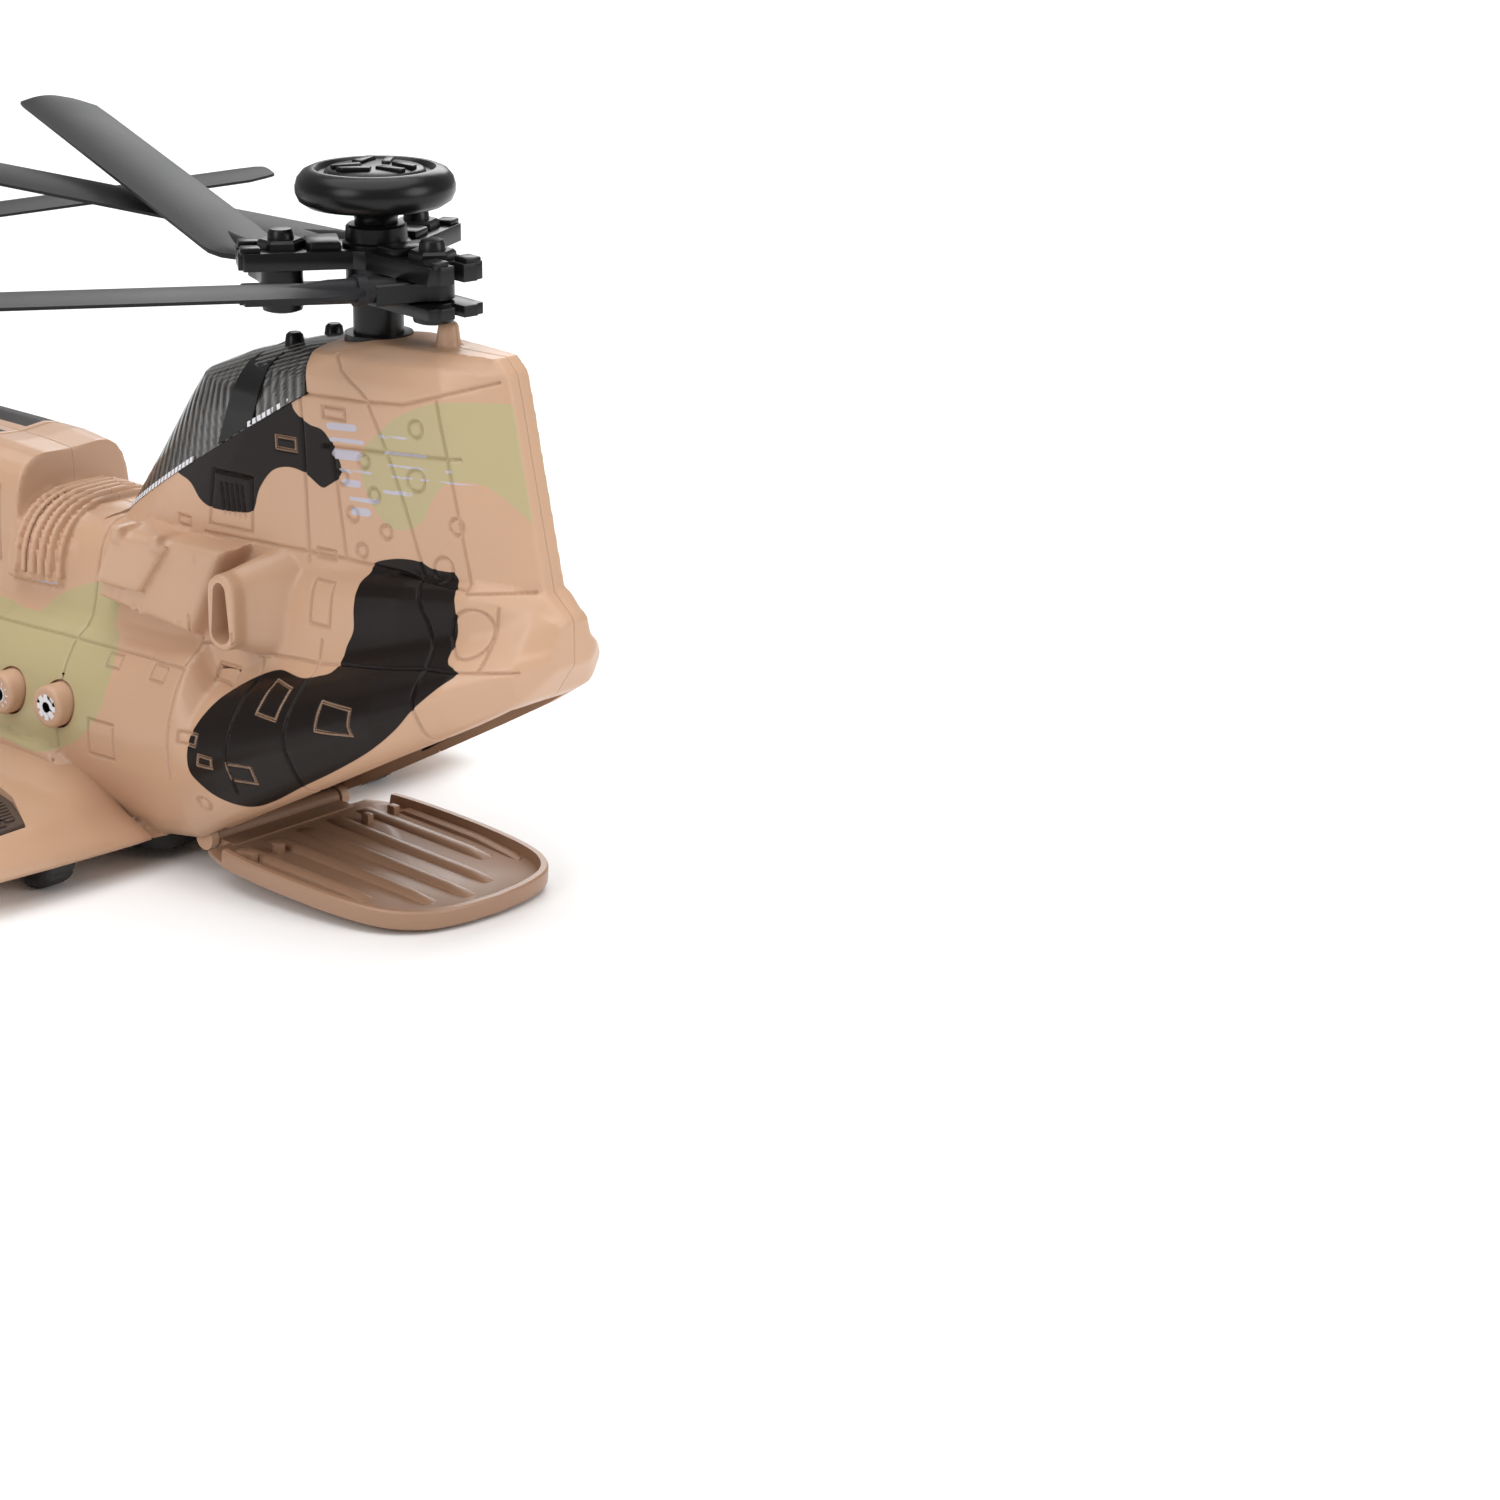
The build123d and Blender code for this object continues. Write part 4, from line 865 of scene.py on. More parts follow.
def buildFuselage():
    shell = hullSolid()
    extras = [pylonSolid(), dorsalFairing(), roofCone()]
    shell = joinAll([shell] + extras + engineSide(-1) + engineSide(1) + [wingFlare(-1), wingFlare(1)],
                    "shell")
    print("fuselage pieces:", len(shell.data.polygons), "faces")
    shell.data.remesh_voxel_size = hullLook["voxel"] * mm
    shell.data.remesh_voxel_adaptivity = 0.0
    bpy.context.view_layer.objects.active = shell
    bpy.ops.object.voxel_remesh()
    applyModifier(shell, "SMOOTH", factor=0.5, iterations=2)
    print("fuselage skin:", len(shell.data.polygons), "faces")
    tree = BVHTree.FromObject(shell, bpy.context.evaluated_depsgraph_get())
    grooves = kdOf(surfaceSamples(tree))
    ridges = kdOf(ridgeSamples(tree))
    frameLines = [p for c in smallFrames for p in walkLine(framePoints(c))]
    frames = kdOf(castSide(tree, frameLines))
    refineNear(shell, grooves, hullLook["refineReach"] * mm)
    refineNear(shell, grooves, hullLook["refineReach"] * 0.6 * mm)
    refineNear(shell, ridges, hullLook["refineReach"] * mm)
    engrave(shell, grooves, hullLook["grooveDepth"], hullLook["grooveWidth"])
    engrave(shell, ridges, -hullLook["ridgeHeight"], hullLook["ridgeWidth"])
    print("fuselage engraved:", len(shell.data.polygons), "faces")
    rise = math.tan(math.radians(27.5))
    mouth = polySolid("mouth", [(38.5, 2.0), (38.5, 20.0), (-44.0, 19.5 + 82.0 * rise),
                                (-47.0, 3.5 + 85.0 * rise),
                                (-20.0, 10.0)], 20.5)
    plan = [(40.0, 20.5), (20.0, 20.5), (-20.0, 16.0), (-44.0, 9.0), (-48.0, 9.0)]
    plan = plan + [(a, -y) for a, y in reversed(plan)]
    cutBy(mouth, prism("mouthPlan", [(place(a), y) for a, y in plan], 0.0, 90.0, axis="Z"), "INTERSECT",
          "EXACT")
    cutters = [mouth] + [polySolid(name, points, half) for name, (points, half) in sideGaps.items()]
    cutters += [
        boxSolid("noseWell", (place(270.3), -14.0, -1.0), (place(253.7), 14.0, 16.5)),
        boxSolid("doorGap", (place(243.15), -15.15, 0.0), (place(230.85), 15.15, 7.3)),
        boxSolid("hingeGap", (place(hingeAhead) - 4.0, -19.1, 0.0), (place(hingeAhead) + 8.0, 19.1, 15.0)),
    ]
    for side in (-1, 1):
        bore = [(nozzleAhead + a * (1.15 if z < 0 else 0.8), 64.6 + z) for a, z in slotPoints(2.5, 4.5)]
        rows = [(side * 20.0, scaled(bore, 0.75)), (side * 25.0, scaled(bore, 0.95)),
                (side * 29.0, scaled(bore, 1.02))]
        cutters.append(sideLoft("bore", rows, tanPrinted))
    for ahead, roof in ((0.0, 126.0), (mastGap, 97.7)):
        cutters.append(tubeSolid("mastHole", (place(ahead), 0.0, roof - 8.0), 7.55, 14.0))
        cutters.append(tubeSolid("mastSpace", (place(ahead), 0.0, roof - 36.0), 9.4, 30.5))
    for ahead in buttonSpots.values():
        cutters.append(tubeSolid("buttonGap", (place(ahead), -34.0, buttonHeight), 5.45, 10.0, axis="Y"))
        cutters.append(tubeSolid("buttonSpace", (place(ahead), -28.2, buttonHeight), 6.8, 9.0, axis="Y"))
    for piece in cutters:
        cutBy(shell, piece, "DIFFERENCE", "MANIFOLD")
    for side in (-1, 1):
        ear = tubeSolid("ear", (place(hingeAhead), 19.4 if side > 0 else -21.6, 8.0), 2.6, 2.2, axis="Y")
        cutBy(shell, ear, "UNION", "MANIFOLD")
    smoothByAngle(shell, 50.0)
    print("fuselage cut:", len(shell.data.polygons), "faces")
    for side, key in ((-1, "port"), (1, "starboard")):
        half = halfOf(shell, side, "hull_shell_" + key)
        printShapes(half, grooves, frames)
        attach(half, "hull")
        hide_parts(f"hull_{key}_half")
        print(half.name, len(half.data.polygons), "faces")
    bpy.data.objects.remove(shell)


buildFuselage()
print("fuselage done")


windowLook = {"pitch": 2.6, "ribDepth": 0.45, "skin": 1.4}


# Half width of the pylon at a place, or nothing outside it
def pylonSurface(ahead, height):
    rows = np.array(pylonLevels)
    level = [float(np.interp(height, rows[:, 0], rows[:, k])) for k in range(1, 5)]
    side = pylonSide(*level)
    line = np.array(side)
    order = np.argsort(line[:, 0])
    if ahead > line[:, 0].max():
        return 0.0
    return float(np.interp(ahead, line[order, 0], line[order, 1]))


# Smoked canopy wrapping the front of the pylon: fine upright ribs, and a toothed lower rim
def ribbedWindow():
    rows = np.array(pylonLevels)
    heights = np.linspace(66.0, 126.0, 68)
    outer = []
    for h in heights:
        lead, sideStart, half = [float(np.interp(h, rows[:, 0], rows[:, k])) for k in (1, 2, 4)]
        ring = []
        steps = 168
        reach = lead - sideStart
        for i in range(steps + 1):
            u = -1.0 + 2.0 * i / steps  # from one side over the front to the other
            if abs(u) < 0.62:
                t = u / 0.62 * math.pi / 2
                a, y = sideStart + reach * math.cos(t), half * math.sin(t)
            else:
                v = (abs(u) - 0.62) / 0.38
                a, y = sideStart - v * (sideStart + 2.0), math.copysign(half, u)
                a = min(a, sideStart)
            rib = 0.5 + 0.5 * math.cos(a * 2.0 * math.pi / windowLook["pitch"])
            grow = 1.0 - windowLook["ribDepth"] * rib / max(half, 1.0)
            ring.append((a, y * grow, h))
        outer.append(ring)
    verts = []
    faces = []
    n = len(outer[0])
    for ring in outer:
        verts += [(place(a), y, z) for a, y, z in ring]
    inner = len(verts)
    for ring in outer:
        verts += [(place(a - windowLook["skin"] * 1.2), y * (1.0 - windowLook["skin"] / 15.0), z - 0.6)
                  for a, y, z in ring]
    for i in range(len(outer) - 1):
        for j in range(n - 1):
            faces.append((i * n + j, i * n + j + 1, (i + 1) * n + j + 1, (i + 1) * n + j))
            faces.append((inner + i * n + j, inner + (i + 1) * n + j, inner + (i + 1) * n + j + 1,
                          inner + i * n + j + 1))
    last = (len(outer) - 1) * n
    for j in range(n - 1):
        faces.append((j, inner + j, inner + j + 1, j + 1))
        faces.append((last + j, last + j + 1, inner + last + j + 1, inner + last + j))
    for i in range(len(outer) - 1):
        for j in (0, n - 1):
            faces.append((i * n + j, (i + 1) * n + j, inner + (i + 1) * n + j, inner + i * n + j))
    window = meshObject("rear_window", verts, faces, smoked)
    keep = prism("keep", [(90.0, 67.5), (7.6, 113.9), (7.6, 140.0), (90.0, 140.0)], -25.0, 25.0, mat=smoked)
    cutBy(window, keep, "INTERSECT", "MANIFOLD")
    # Painted highlight along the crest of each rib, fading towards the bottom of the pane
    glint = window.data.attributes.new("paintedRibGlint", "FLOAT", "POINT")
    values = []
    for v in window.data.vertices:
        ahead = rearMastX - v.co.x / mm
        rib = 0.5 - 0.5 * math.cos(ahead * 2.0 * math.pi / windowLook["pitch"])
        fade = 0.35 + 0.65 * min(1.0, max(0.0, (v.co.z / mm - 74.0) / 30.0))
        values.append(max(0.0, rib - 0.55) * 2.0 * fade)
    glint.data.foreach_set("value", values)
    smoothByAngle(window, 40.0)
    return window


# Black band between the panes, trimmed along the pane's lower edge, and two small cones on top
def windowTrim():
    band = []
    for h in np.linspace(90.0, 121.0, 32):
        centre = 33.5 - (h - 90.0) * 0.35
        width = 4.5
        ring = []
        for a in (centre - width, centre + width):
            ring.append((a, pylonSurface(a, h), h))
        band.append(ring)
    pieces = []
    for side in (-1, 1):
        verts, faces = [], []
        for (a0, y0, z0), (a1, y1, z1) in band:
            for lift in (0.35, -0.8):
                verts += [(place(a0), side * (y0 + lift), z0), (place(a1), side * (y1 + lift), z1)]
        n = len(band)
        for i in range(n - 1):
            b, c = i * 4, (i + 1) * 4
            faces += [(b, b + 1, c + 1, c), (b + 2, c + 2, c + 3, b + 3), (b, c, c + 2, b + 2),
                      (b + 1, b + 3, c + 3, c + 1)]
        faces += [(0, 2, 3, 1), (n * 4 - 4, n * 4 - 3, n * 4 - 1, n * 4 - 2)]
        strip = meshObject("windowBand", verts, faces, blackPlastic)
        edge = prism("edge", [(60.0, 84.6), (7.7, 114.1), (7.7, 130.0), (60.0, 130.0)], -25.0, 25.0,
                     mat=blackPlastic)
        cutBy(strip, edge, "INTERSECT", "EXACT")
        pieces.append(strip)
        cone = []
        for z, r in ((117.0, 3.0), (121.4, 2.3), (123.8, 1.9), (124.4, 1.3)):
            cone.append([(place(20.0) + r * math.cos(k * math.pi / 14),
                          side * 6.0 + r * math.sin(k * math.pi / 14), z)
                         for k in range(28)])
        verts, faces = skinRings(cone)
        pieces.append(meshObject("windowCone", verts, faces, blackPlastic))
    trim = joinAll(pieces, "rear_window_trim")
    smoothByAngle(trim, 40.0)
    return trim


# Pale toothed strip along the lower edge of each pane
def windowTeeth():
    slope = (113.9 - 67.3) / (90.0 - 7.4)
    verts, faces = [], []
    for side in (-1, 1):
        for start, end in ((77.0, 43.0), (25.0, 9.5)):
            count = int((start - end) / 1.5)
            for i in range(count):
                a = start - i * 1.5
                z = 67.3 + (90.0 - a) * slope
                base = len(verts)
                for da, dz in ((0.0, 0.15), (-1.0, 0.7), (-1.0, 1.9), (0.0, 1.35)):
                    y = pylonSurface(a + da, z + dz)
                    for lift in (0.28, -0.5):
                        verts.append((place(a + da), side * (y + lift), z + dz))
                b = base
                faces += [(b, b + 2, b + 4, b + 6), (b + 1, b + 7, b + 5, b + 3)]
                for k in range(4):
                    m = (k + 1) % 4
                    faces.append((b + 2 * k, b + 2 * k + 1, b + 2 * m + 1, b + 2 * m))
    return meshObject("rear_window_teeth", verts, faces, whiteInk, smooth=False)


def buildWindows():
    window = ribbedWindow()
    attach(window, "hull")
    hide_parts("rear_pylon_window")
    for obj, slotName in ((windowTrim(), "rotor_black"), (windowTeeth(), "white_plastic")):
        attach(obj, "hull")
    core = hullSolid()
    inside = core.copy()
    inside.data = core.data.copy()
    scene.collection.objects.link(inside)
    for v in inside.data.vertices:
        v.co.x += 0.0022
        v.co.y *= 0.93
        v.co.z = 0.030 + (v.co.z - 0.030) * 0.965
    cutBy(core, inside, "DIFFERENCE", "MANIFOLD")
    zone = polySolid("zone", [(256.1, 62.0), (262.0, 40.2), (283.8, 40.2), (290.0, 62.0), (262.0, 79.0)],
                     39.0)
    cutBy(core, zone, "INTERSECT", "MANIFOLD")
    core.name = "nose_window"
    core.data.materials.clear()
    core.data.materials.append(smoked)
    smoothByAngle(core, 30.0)
    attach(core, "hull")
    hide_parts("cockpit_window")


buildWindows()
print("windows done")


rotorLook = {"chord": 17.0, "sheet": 1.5, "twist": 4.0, "knobRim": 17.3}
rotorBlades = {
    "rear": [(50.0, -24.0, 5.0), (170.0, 67.0, 3.5), (-70.0, 2.0, 1.5)],
    "front": [(-19.3, -106.0, 1.5), (100.7, 64.5, 3.0), (220.7, 133.7, 3.0)],
}
pinOut = 20.5  # blade pins from the mast
hubLevels = {"low": 133.9, "gapLow": 136.4, "gapHigh": 141.4, "high": 145.3, "collar": 150.0, "knob": 153.7}


def turned(angle):
    return math.radians(angle + 180.0)


# Rings given along +X, turned by the heading and lean about the origin
def moveRings(rings, origin, heading, lean):
    h, t = turned(heading), math.radians(lean)
    turn = Matrix.Rotation(h, 3, "Z") @ Matrix.Rotation(-t, 3, "Y")
    base = Vector(origin)
    return [[tuple(base + turn @ Vector(p)) for p in ring] for ring in rings]


# Closed thin aerofoil section at x, between y = front and y = back
def sheetSection(x, front, back, thick, camber, twist, count=11):
    ring = []
    for i in range(count + 1):
        u = i / count
        y = front + (back - front) * u
        lift = camber * math.sin(math.pi * u)
        half = thick / 2 * (math.sin(math.pi * min(max(u, 0.04), 0.96)) ** 0.35)
        ring.append((x, y, lift + half))
    for i in range(count, -1, -1):
        u = i / count
        y = front + (back - front) * u
        lift = camber * math.sin(math.pi * u)
        half = thick / 2 * (math.sin(math.pi * min(max(u, 0.04), 0.96)) ** 0.35)
        ring.append((x, y, lift - half))
    slope = math.tan(math.radians(twist))
    return [(px, py, pz + py * slope) for px, py, pz in ring]


def bladePiece(prefix, number, hubX, drop, arm, heading, lean):
    a = turned(arm)
    pin = (hubX + pinOut * math.cos(a), pinOut * math.sin(a), 138.9 - drop)
    half = rotorLook["chord"] / 2
    rows = []
    for x, front, back in ((15.0, -2.4, 2.4), (17.0, -2.9, 3.6), (20.0, -4.2, 6.8), (24.0, -6.6, 8.3),
                           (28.0, -8.1, half),
                           (40.0, -half, half), (90.0, -half, half), (145.0, -half, half),
                           (155.0, -half + 0.2, half),
                           (161.0, -half + 2.4, half), (163.8, -half + 3.6, half - 0.3),
                           (164.9, -half + 4.6, half - 1.6)):
        fade = min(1.0, max(0.0, (x - 15.0) / 15.0))
        rows.append(sheetSection(x, front, back, rotorLook["sheet"] + (1.0 - fade) * 1.2, 0.5 * fade, 0.0))
    verts, faces = skinRings(moveRings(rows, pin, heading, lean))
    parts = [meshObject("sheet", verts, faces, bladePlastic)]
    spar = []
    for x, r in ((9.0, 2.4), (12.0, 2.8), (15.6, 2.8), (15.7, 3.4), (18.0, 3.4), (18.1, 2.7), (24.0, 2.5),
                 (30.0, 1.7),
                 (38.0, 0.9), (41.0, 0.35)):
        spar.append([(x, r * math.cos(k * math.pi / 12), r * math.sin(k * math.pi / 12)) for k in range(24)])
    verts, faces = skinRings(moveRings(spar, pin, heading, lean))
    parts.append(meshObject("spar", verts, faces, bladePlastic))
    rim = []  # one line of the grip from the top to the bottom
    for z, grow in ((2.3, 0.86), (1.9, 1.0), (-1.9, 1.0), (-2.3, 0.86)):
        ring = []
        for k in range(25):
            t = math.radians(50.0) + math.radians(260.0) * k / 24
            ring.append((4.6 * grow * math.cos(t), 4.6 * grow * math.sin(t), z))
        ring += [(9.0, -2.9 * grow, z), (14.0, -2.8 * grow, z), (14.6 * (0.97 + 0.03 * grow), 0.0, z),
                 (14.0, 2.8 * grow, z), (9.0, 2.9 * grow, z)]
        rim.append(ring)
    verts, faces = skinRings(moveRings(rim, pin, heading, 0.0))
    parts.append(meshObject("grip", verts, faces, blackPlastic))
    blade = joinAll(parts, f"{prefix}_blade_skin_{number}")
    smoothByAngle(blade, 32.0)
    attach(blade, f"{prefix}_blade_{number}")
    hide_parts(f"{prefix}_blade_{number}")


# Outline seen from the centre of a star of discs and bars, all touching the centre disc
def unitedOutline(centreRadius, bars, count=720):
    out = []
    for i in range(count):
        t = 2 * math.pi * i / count
        far = centreRadius
        for angle, length, half, corner in bars:
            d = t - angle
            c, s = math.cos(d), math.sin(d)
            if c <= 0:
                continue
            reach = length / c if abs(s) * length <= half * c else half / max(abs(s), 1e-6)
            if reach * c > length - corner and reach * abs(s) > half - corner:
                reach = min(reach, math.hypot(length, half) - corner * 0.55)
            far = max(far, reach)
        out.append((far * math.cos(t), far * math.sin(t)))
    return out


def hubPlate(name, hubX, low, thick, arms, holeRadius, stepped):
    bars = [(turned(arm), 30.0, 7.0, 2.0) for arm in arms]
    points = unitedOutline(9.0, bars)
    plate = prism(name, [(hubX + x, y) for x, y in points], low, low + thick, axis="Z", mat=blackPlastic)
    cutters = [tubeSolid("hole", (hubX, 0, low - 1.0), holeRadius, thick + 14.0, count=40)]
    extras = []
    for arm in arms:
        a = turned(arm)
        ux, uy = math.cos(a), math.sin(a)

        def spot(r, s):
            return hubX + r * ux - s * uy, r * uy + s * ux

        cutters.append(prism("slot", [spot(25.6, -1.2), spot(31.5, -1.2), spot(31.5, 1.2), spot(25.6, 1.2)],
                             low - 1.0, low + thick + 1.0, axis="Z", mat=blackPlastic))
        if stepped:
            raised = [spot(8.0, -5.6), spot(14.6, -5.6), spot(15.4, -4.0), spot(15.4, 4.0), spot(14.6, 5.6),
                      spot(8.0, 5.6)]
            extras.append(prism("step", raised, low + thick - 0.5, low + thick + 1.7, axis="Z",
                                mat=blackPlastic, bevel=0.5))
            for s in (-1, 1):
                nose = [spot(25.2, s * 2.2), spot(29.6, s * 2.2), spot(29.6, s * 6.2), spot(25.2, s * 6.2)]
                extras.append(prism("nose", nose, low + thick - 0.5, low + thick + 1.1, axis="Z",
                                    mat=blackPlastic, bevel=0.4))
    for piece in cutters:
        cutBy(plate, piece, "DIFFERENCE", "EXACT")
    applyModifier(plate, "BEVEL", width=0.35 * mm, segments=2, limit_method="ANGLE", angle_limit=0.9)
    return plate, extras


# Turned solid from (radius, z) points, listed from the bottom to the top
def lathe(name, centre, profile, mat, count=56):
    cx, cy = centre
    rings = [[(cx + r * math.cos(2 * math.pi * k / count), cy + r * math.sin(2 * math.pi * k / count), z)
              for k in range(count)] for r, z in profile]
    verts, faces = skinRings(rings)
    return meshObject(name, verts, faces, mat)


def buildHub(prefix, hubX, drop, arms):
    lv = {k: v - drop for k, v in hubLevels.items()}
    plate, extras = hubPlate("plateLow", hubX, lv["low"], 2.5, arms, 6.8, False)
    low = joinAll([plate] + extras, f"{prefix}_hub_plate_low")
    plate, extras = hubPlate("plateHigh", hubX, lv["gapHigh"], 3.9, arms, 4.78, True)
    collar = lathe("collar", (hubX, 0.0), [(7.4, lv["high"] - 0.5), (7.4, lv["high"] + 0.8),
                                           (6.8, lv["high"] + 1.2),
                                          (6.6, lv["collar"] - 0.5), (6.1, lv["collar"])], blackPlastic)
    cutBy(collar, tubeSolid("neckHole", (hubX, 0, lv["high"] - 2.0), 4.78, 12.0, count=56), "DIFFERENCE",
          "MANIFOLD")
    high = joinAll([plate, collar] + extras, f"{prefix}_hub_plate_high")
    pinParts = []
    for arm in arms:
        a = turned(arm)
        px, py = hubX + pinOut * math.cos(a), pinOut * math.sin(a)
        pinParts.append(lathe("pinFoot", (px, py), [(3.2, lv["low"] - 2.4), (4.3, lv["low"] - 2.0),
                                                    (4.7, lv["low"] - 0.2),
                                                    (4.7, lv["low"])], blackPlastic, 32))
        pinParts.append(lathe("pinShaft", (px, py), [(1.45, lv["low"] - 0.5), (1.45, lv["high"] + 0.5)],
                              blackPlastic, 24))
        hexagon = []
        for z, r in ((lv["high"], 5.2), (lv["high"] + 1.4, 5.1), (lv["high"] + 2.0, 4.5)):
            hexagon.append([(px + r * math.cos(a + k * math.pi / 3), py + r * math.sin(a + k * math.pi / 3),
                             z) for k in range(6)])
        verts, faces = skinRings(hexagon)
        pinParts.append(meshObject("hexHead", verts, faces, blackPlastic, smooth=False))
        pinParts.append(lathe("pinTop", (px, py), [(2.9, lv["high"] + 1.9), (2.75, lv["high"] + 3.4),
                                                   (2.3, lv["high"] + 4.1),
                                                   (1.3, lv["high"] + 4.2)], blackPlastic, 32))
    pins = joinAll(pinParts, f"{prefix}_pin_set")
    for obj, node in ((low, f"{prefix}_hub_lower"), (high, f"{prefix}_hub_upper"),
                      (pins, f"{prefix}_blade_pins")):
        smoothByAngle(obj, 32.0)
        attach(obj, f"{prefix}_rotor")
        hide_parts(node)


def buildKnob(prefix, hubX, drop):
    lv = {k: v - drop for k, v in hubLevels.items()}
    base = lv["knob"]
    body = lathe("knobBody", (hubX, 0.0), [
        (1.75, 130.3 - drop), (1.75, lv["collar"] - 4.0), (4.65, lv["collar"] - 4.0),
        (4.65, lv["collar"] + 1.2),
        (5.2, lv["collar"] + 2.4), (7.0, base), (12.0, base), (14.8, base + 0.4), (16.5, base + 1.5),
        (17.25, base + 3.2),
        (17.3, base + 4.6), (16.8, base + 6.3), (15.6, base + 7.7), (14.0, base + 8.4), (13.1, base + 8.4),
        (12.6, base + 8.0), (12.2, base + 7.3), (11.0, base + 7.3), (10.6, base + 8.0), (10.0, base + 8.3),
        (6.0, base + 8.6), (0.5, base + 8.7)], blackPlastic, 72)
    relief = [body]
    for turn in range(3):
        t = math.radians(120.0 * turn + 20.0)

        def spot(r, s, t=t):
            return hubX + r * math.cos(t) - s * math.sin(t), r * math.sin(t) + s * math.cos(t)

        chevron = [spot(9.4, -1.1), spot(9.4, 1.1), spot(4.6, 4.6), spot(2.6, 2.6)]
        relief.append(prism("mark", chevron, base + 8.0, base + 9.3, axis="Z", mat=blackPlastic, bevel=0.25))
        bar = [spot(1.6, -3.4), spot(8.2, -4.9), spot(8.8, -3.2), spot(2.4, -1.6)]
        relief.append(prism("bar", bar, base + 8.0, base + 9.2, axis="Z", mat=blackPlastic, bevel=0.25))
    knob = joinAll(relief, f"{prefix}_knob_cap")
    smoothByAngle(knob, 34.0)
    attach(knob, f"{prefix}_knob")
    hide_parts(f"{prefix}_press_knob")


for prefix, hubX, drop in (("rear", rearMastX, 0.0), ("front", place(mastGap), frontDrop)):
    blades = rotorBlades[prefix]
    buildHub(prefix, hubX, drop, [b[0] for b in blades])
    buildKnob(prefix, hubX, drop)
    for number, (arm, heading, lean) in enumerate(blades, start=1):
        bladePiece(prefix, number, hubX, drop, arm, heading, lean)
print("rotors done")


rampLook = {"half": 29.0, "length": 71.5, "slope": 4.4, "low": -2.2, "floor": -0.4, "rail": 2.4}
rampSide = [(5.0, 25.0), (14.0, 28.0), (30.0, 29.0), (45.0, 28.6), (56.0, 27.0), (63.0, 24.0), (68.0, 18.5),
            (70.6, 10.0)]


# Tray outline as (s, y, t) points, moved in by the inset
def rampRing(inset, level):
    side = curveThrough([(s, y) for s, y in rampSide] + [(rampLook["length"], 0.0)], 5, closed=False)
    line = side + [(s, -y) for s, y in reversed(side[:-1])]
    pts = np.array(line)
    out = []
    for i, p in enumerate(pts):
        before, after = pts[max(i - 1, 0)], pts[min(i + 1, len(pts) - 1)]
        d = after - before
        d = d / max(np.hypot(*d), 1e-9)
        out.append((p[0] + d[1] * inset, p[1] - d[0] * inset, level))
    return out


def rampPoint(p):
    s, y, t = p
    rest = math.radians(rampLook["slope"])
    return (place(hingeAhead) + s * math.cos(rest) + t * math.sin(rest), y,
            8.0 - s * math.sin(rest) + t * math.cos(rest))


def layOnRamp(obj):
    for v in obj.data.vertices:
        v.co = Vector(rampPoint(tuple(v.co / mm))) * mm


def rampLoft(name, rings):
    verts, faces = skinRings([[rampPoint(p) for p in ring] for ring in rings])
    return meshObject(name, verts, faces, tanDark)


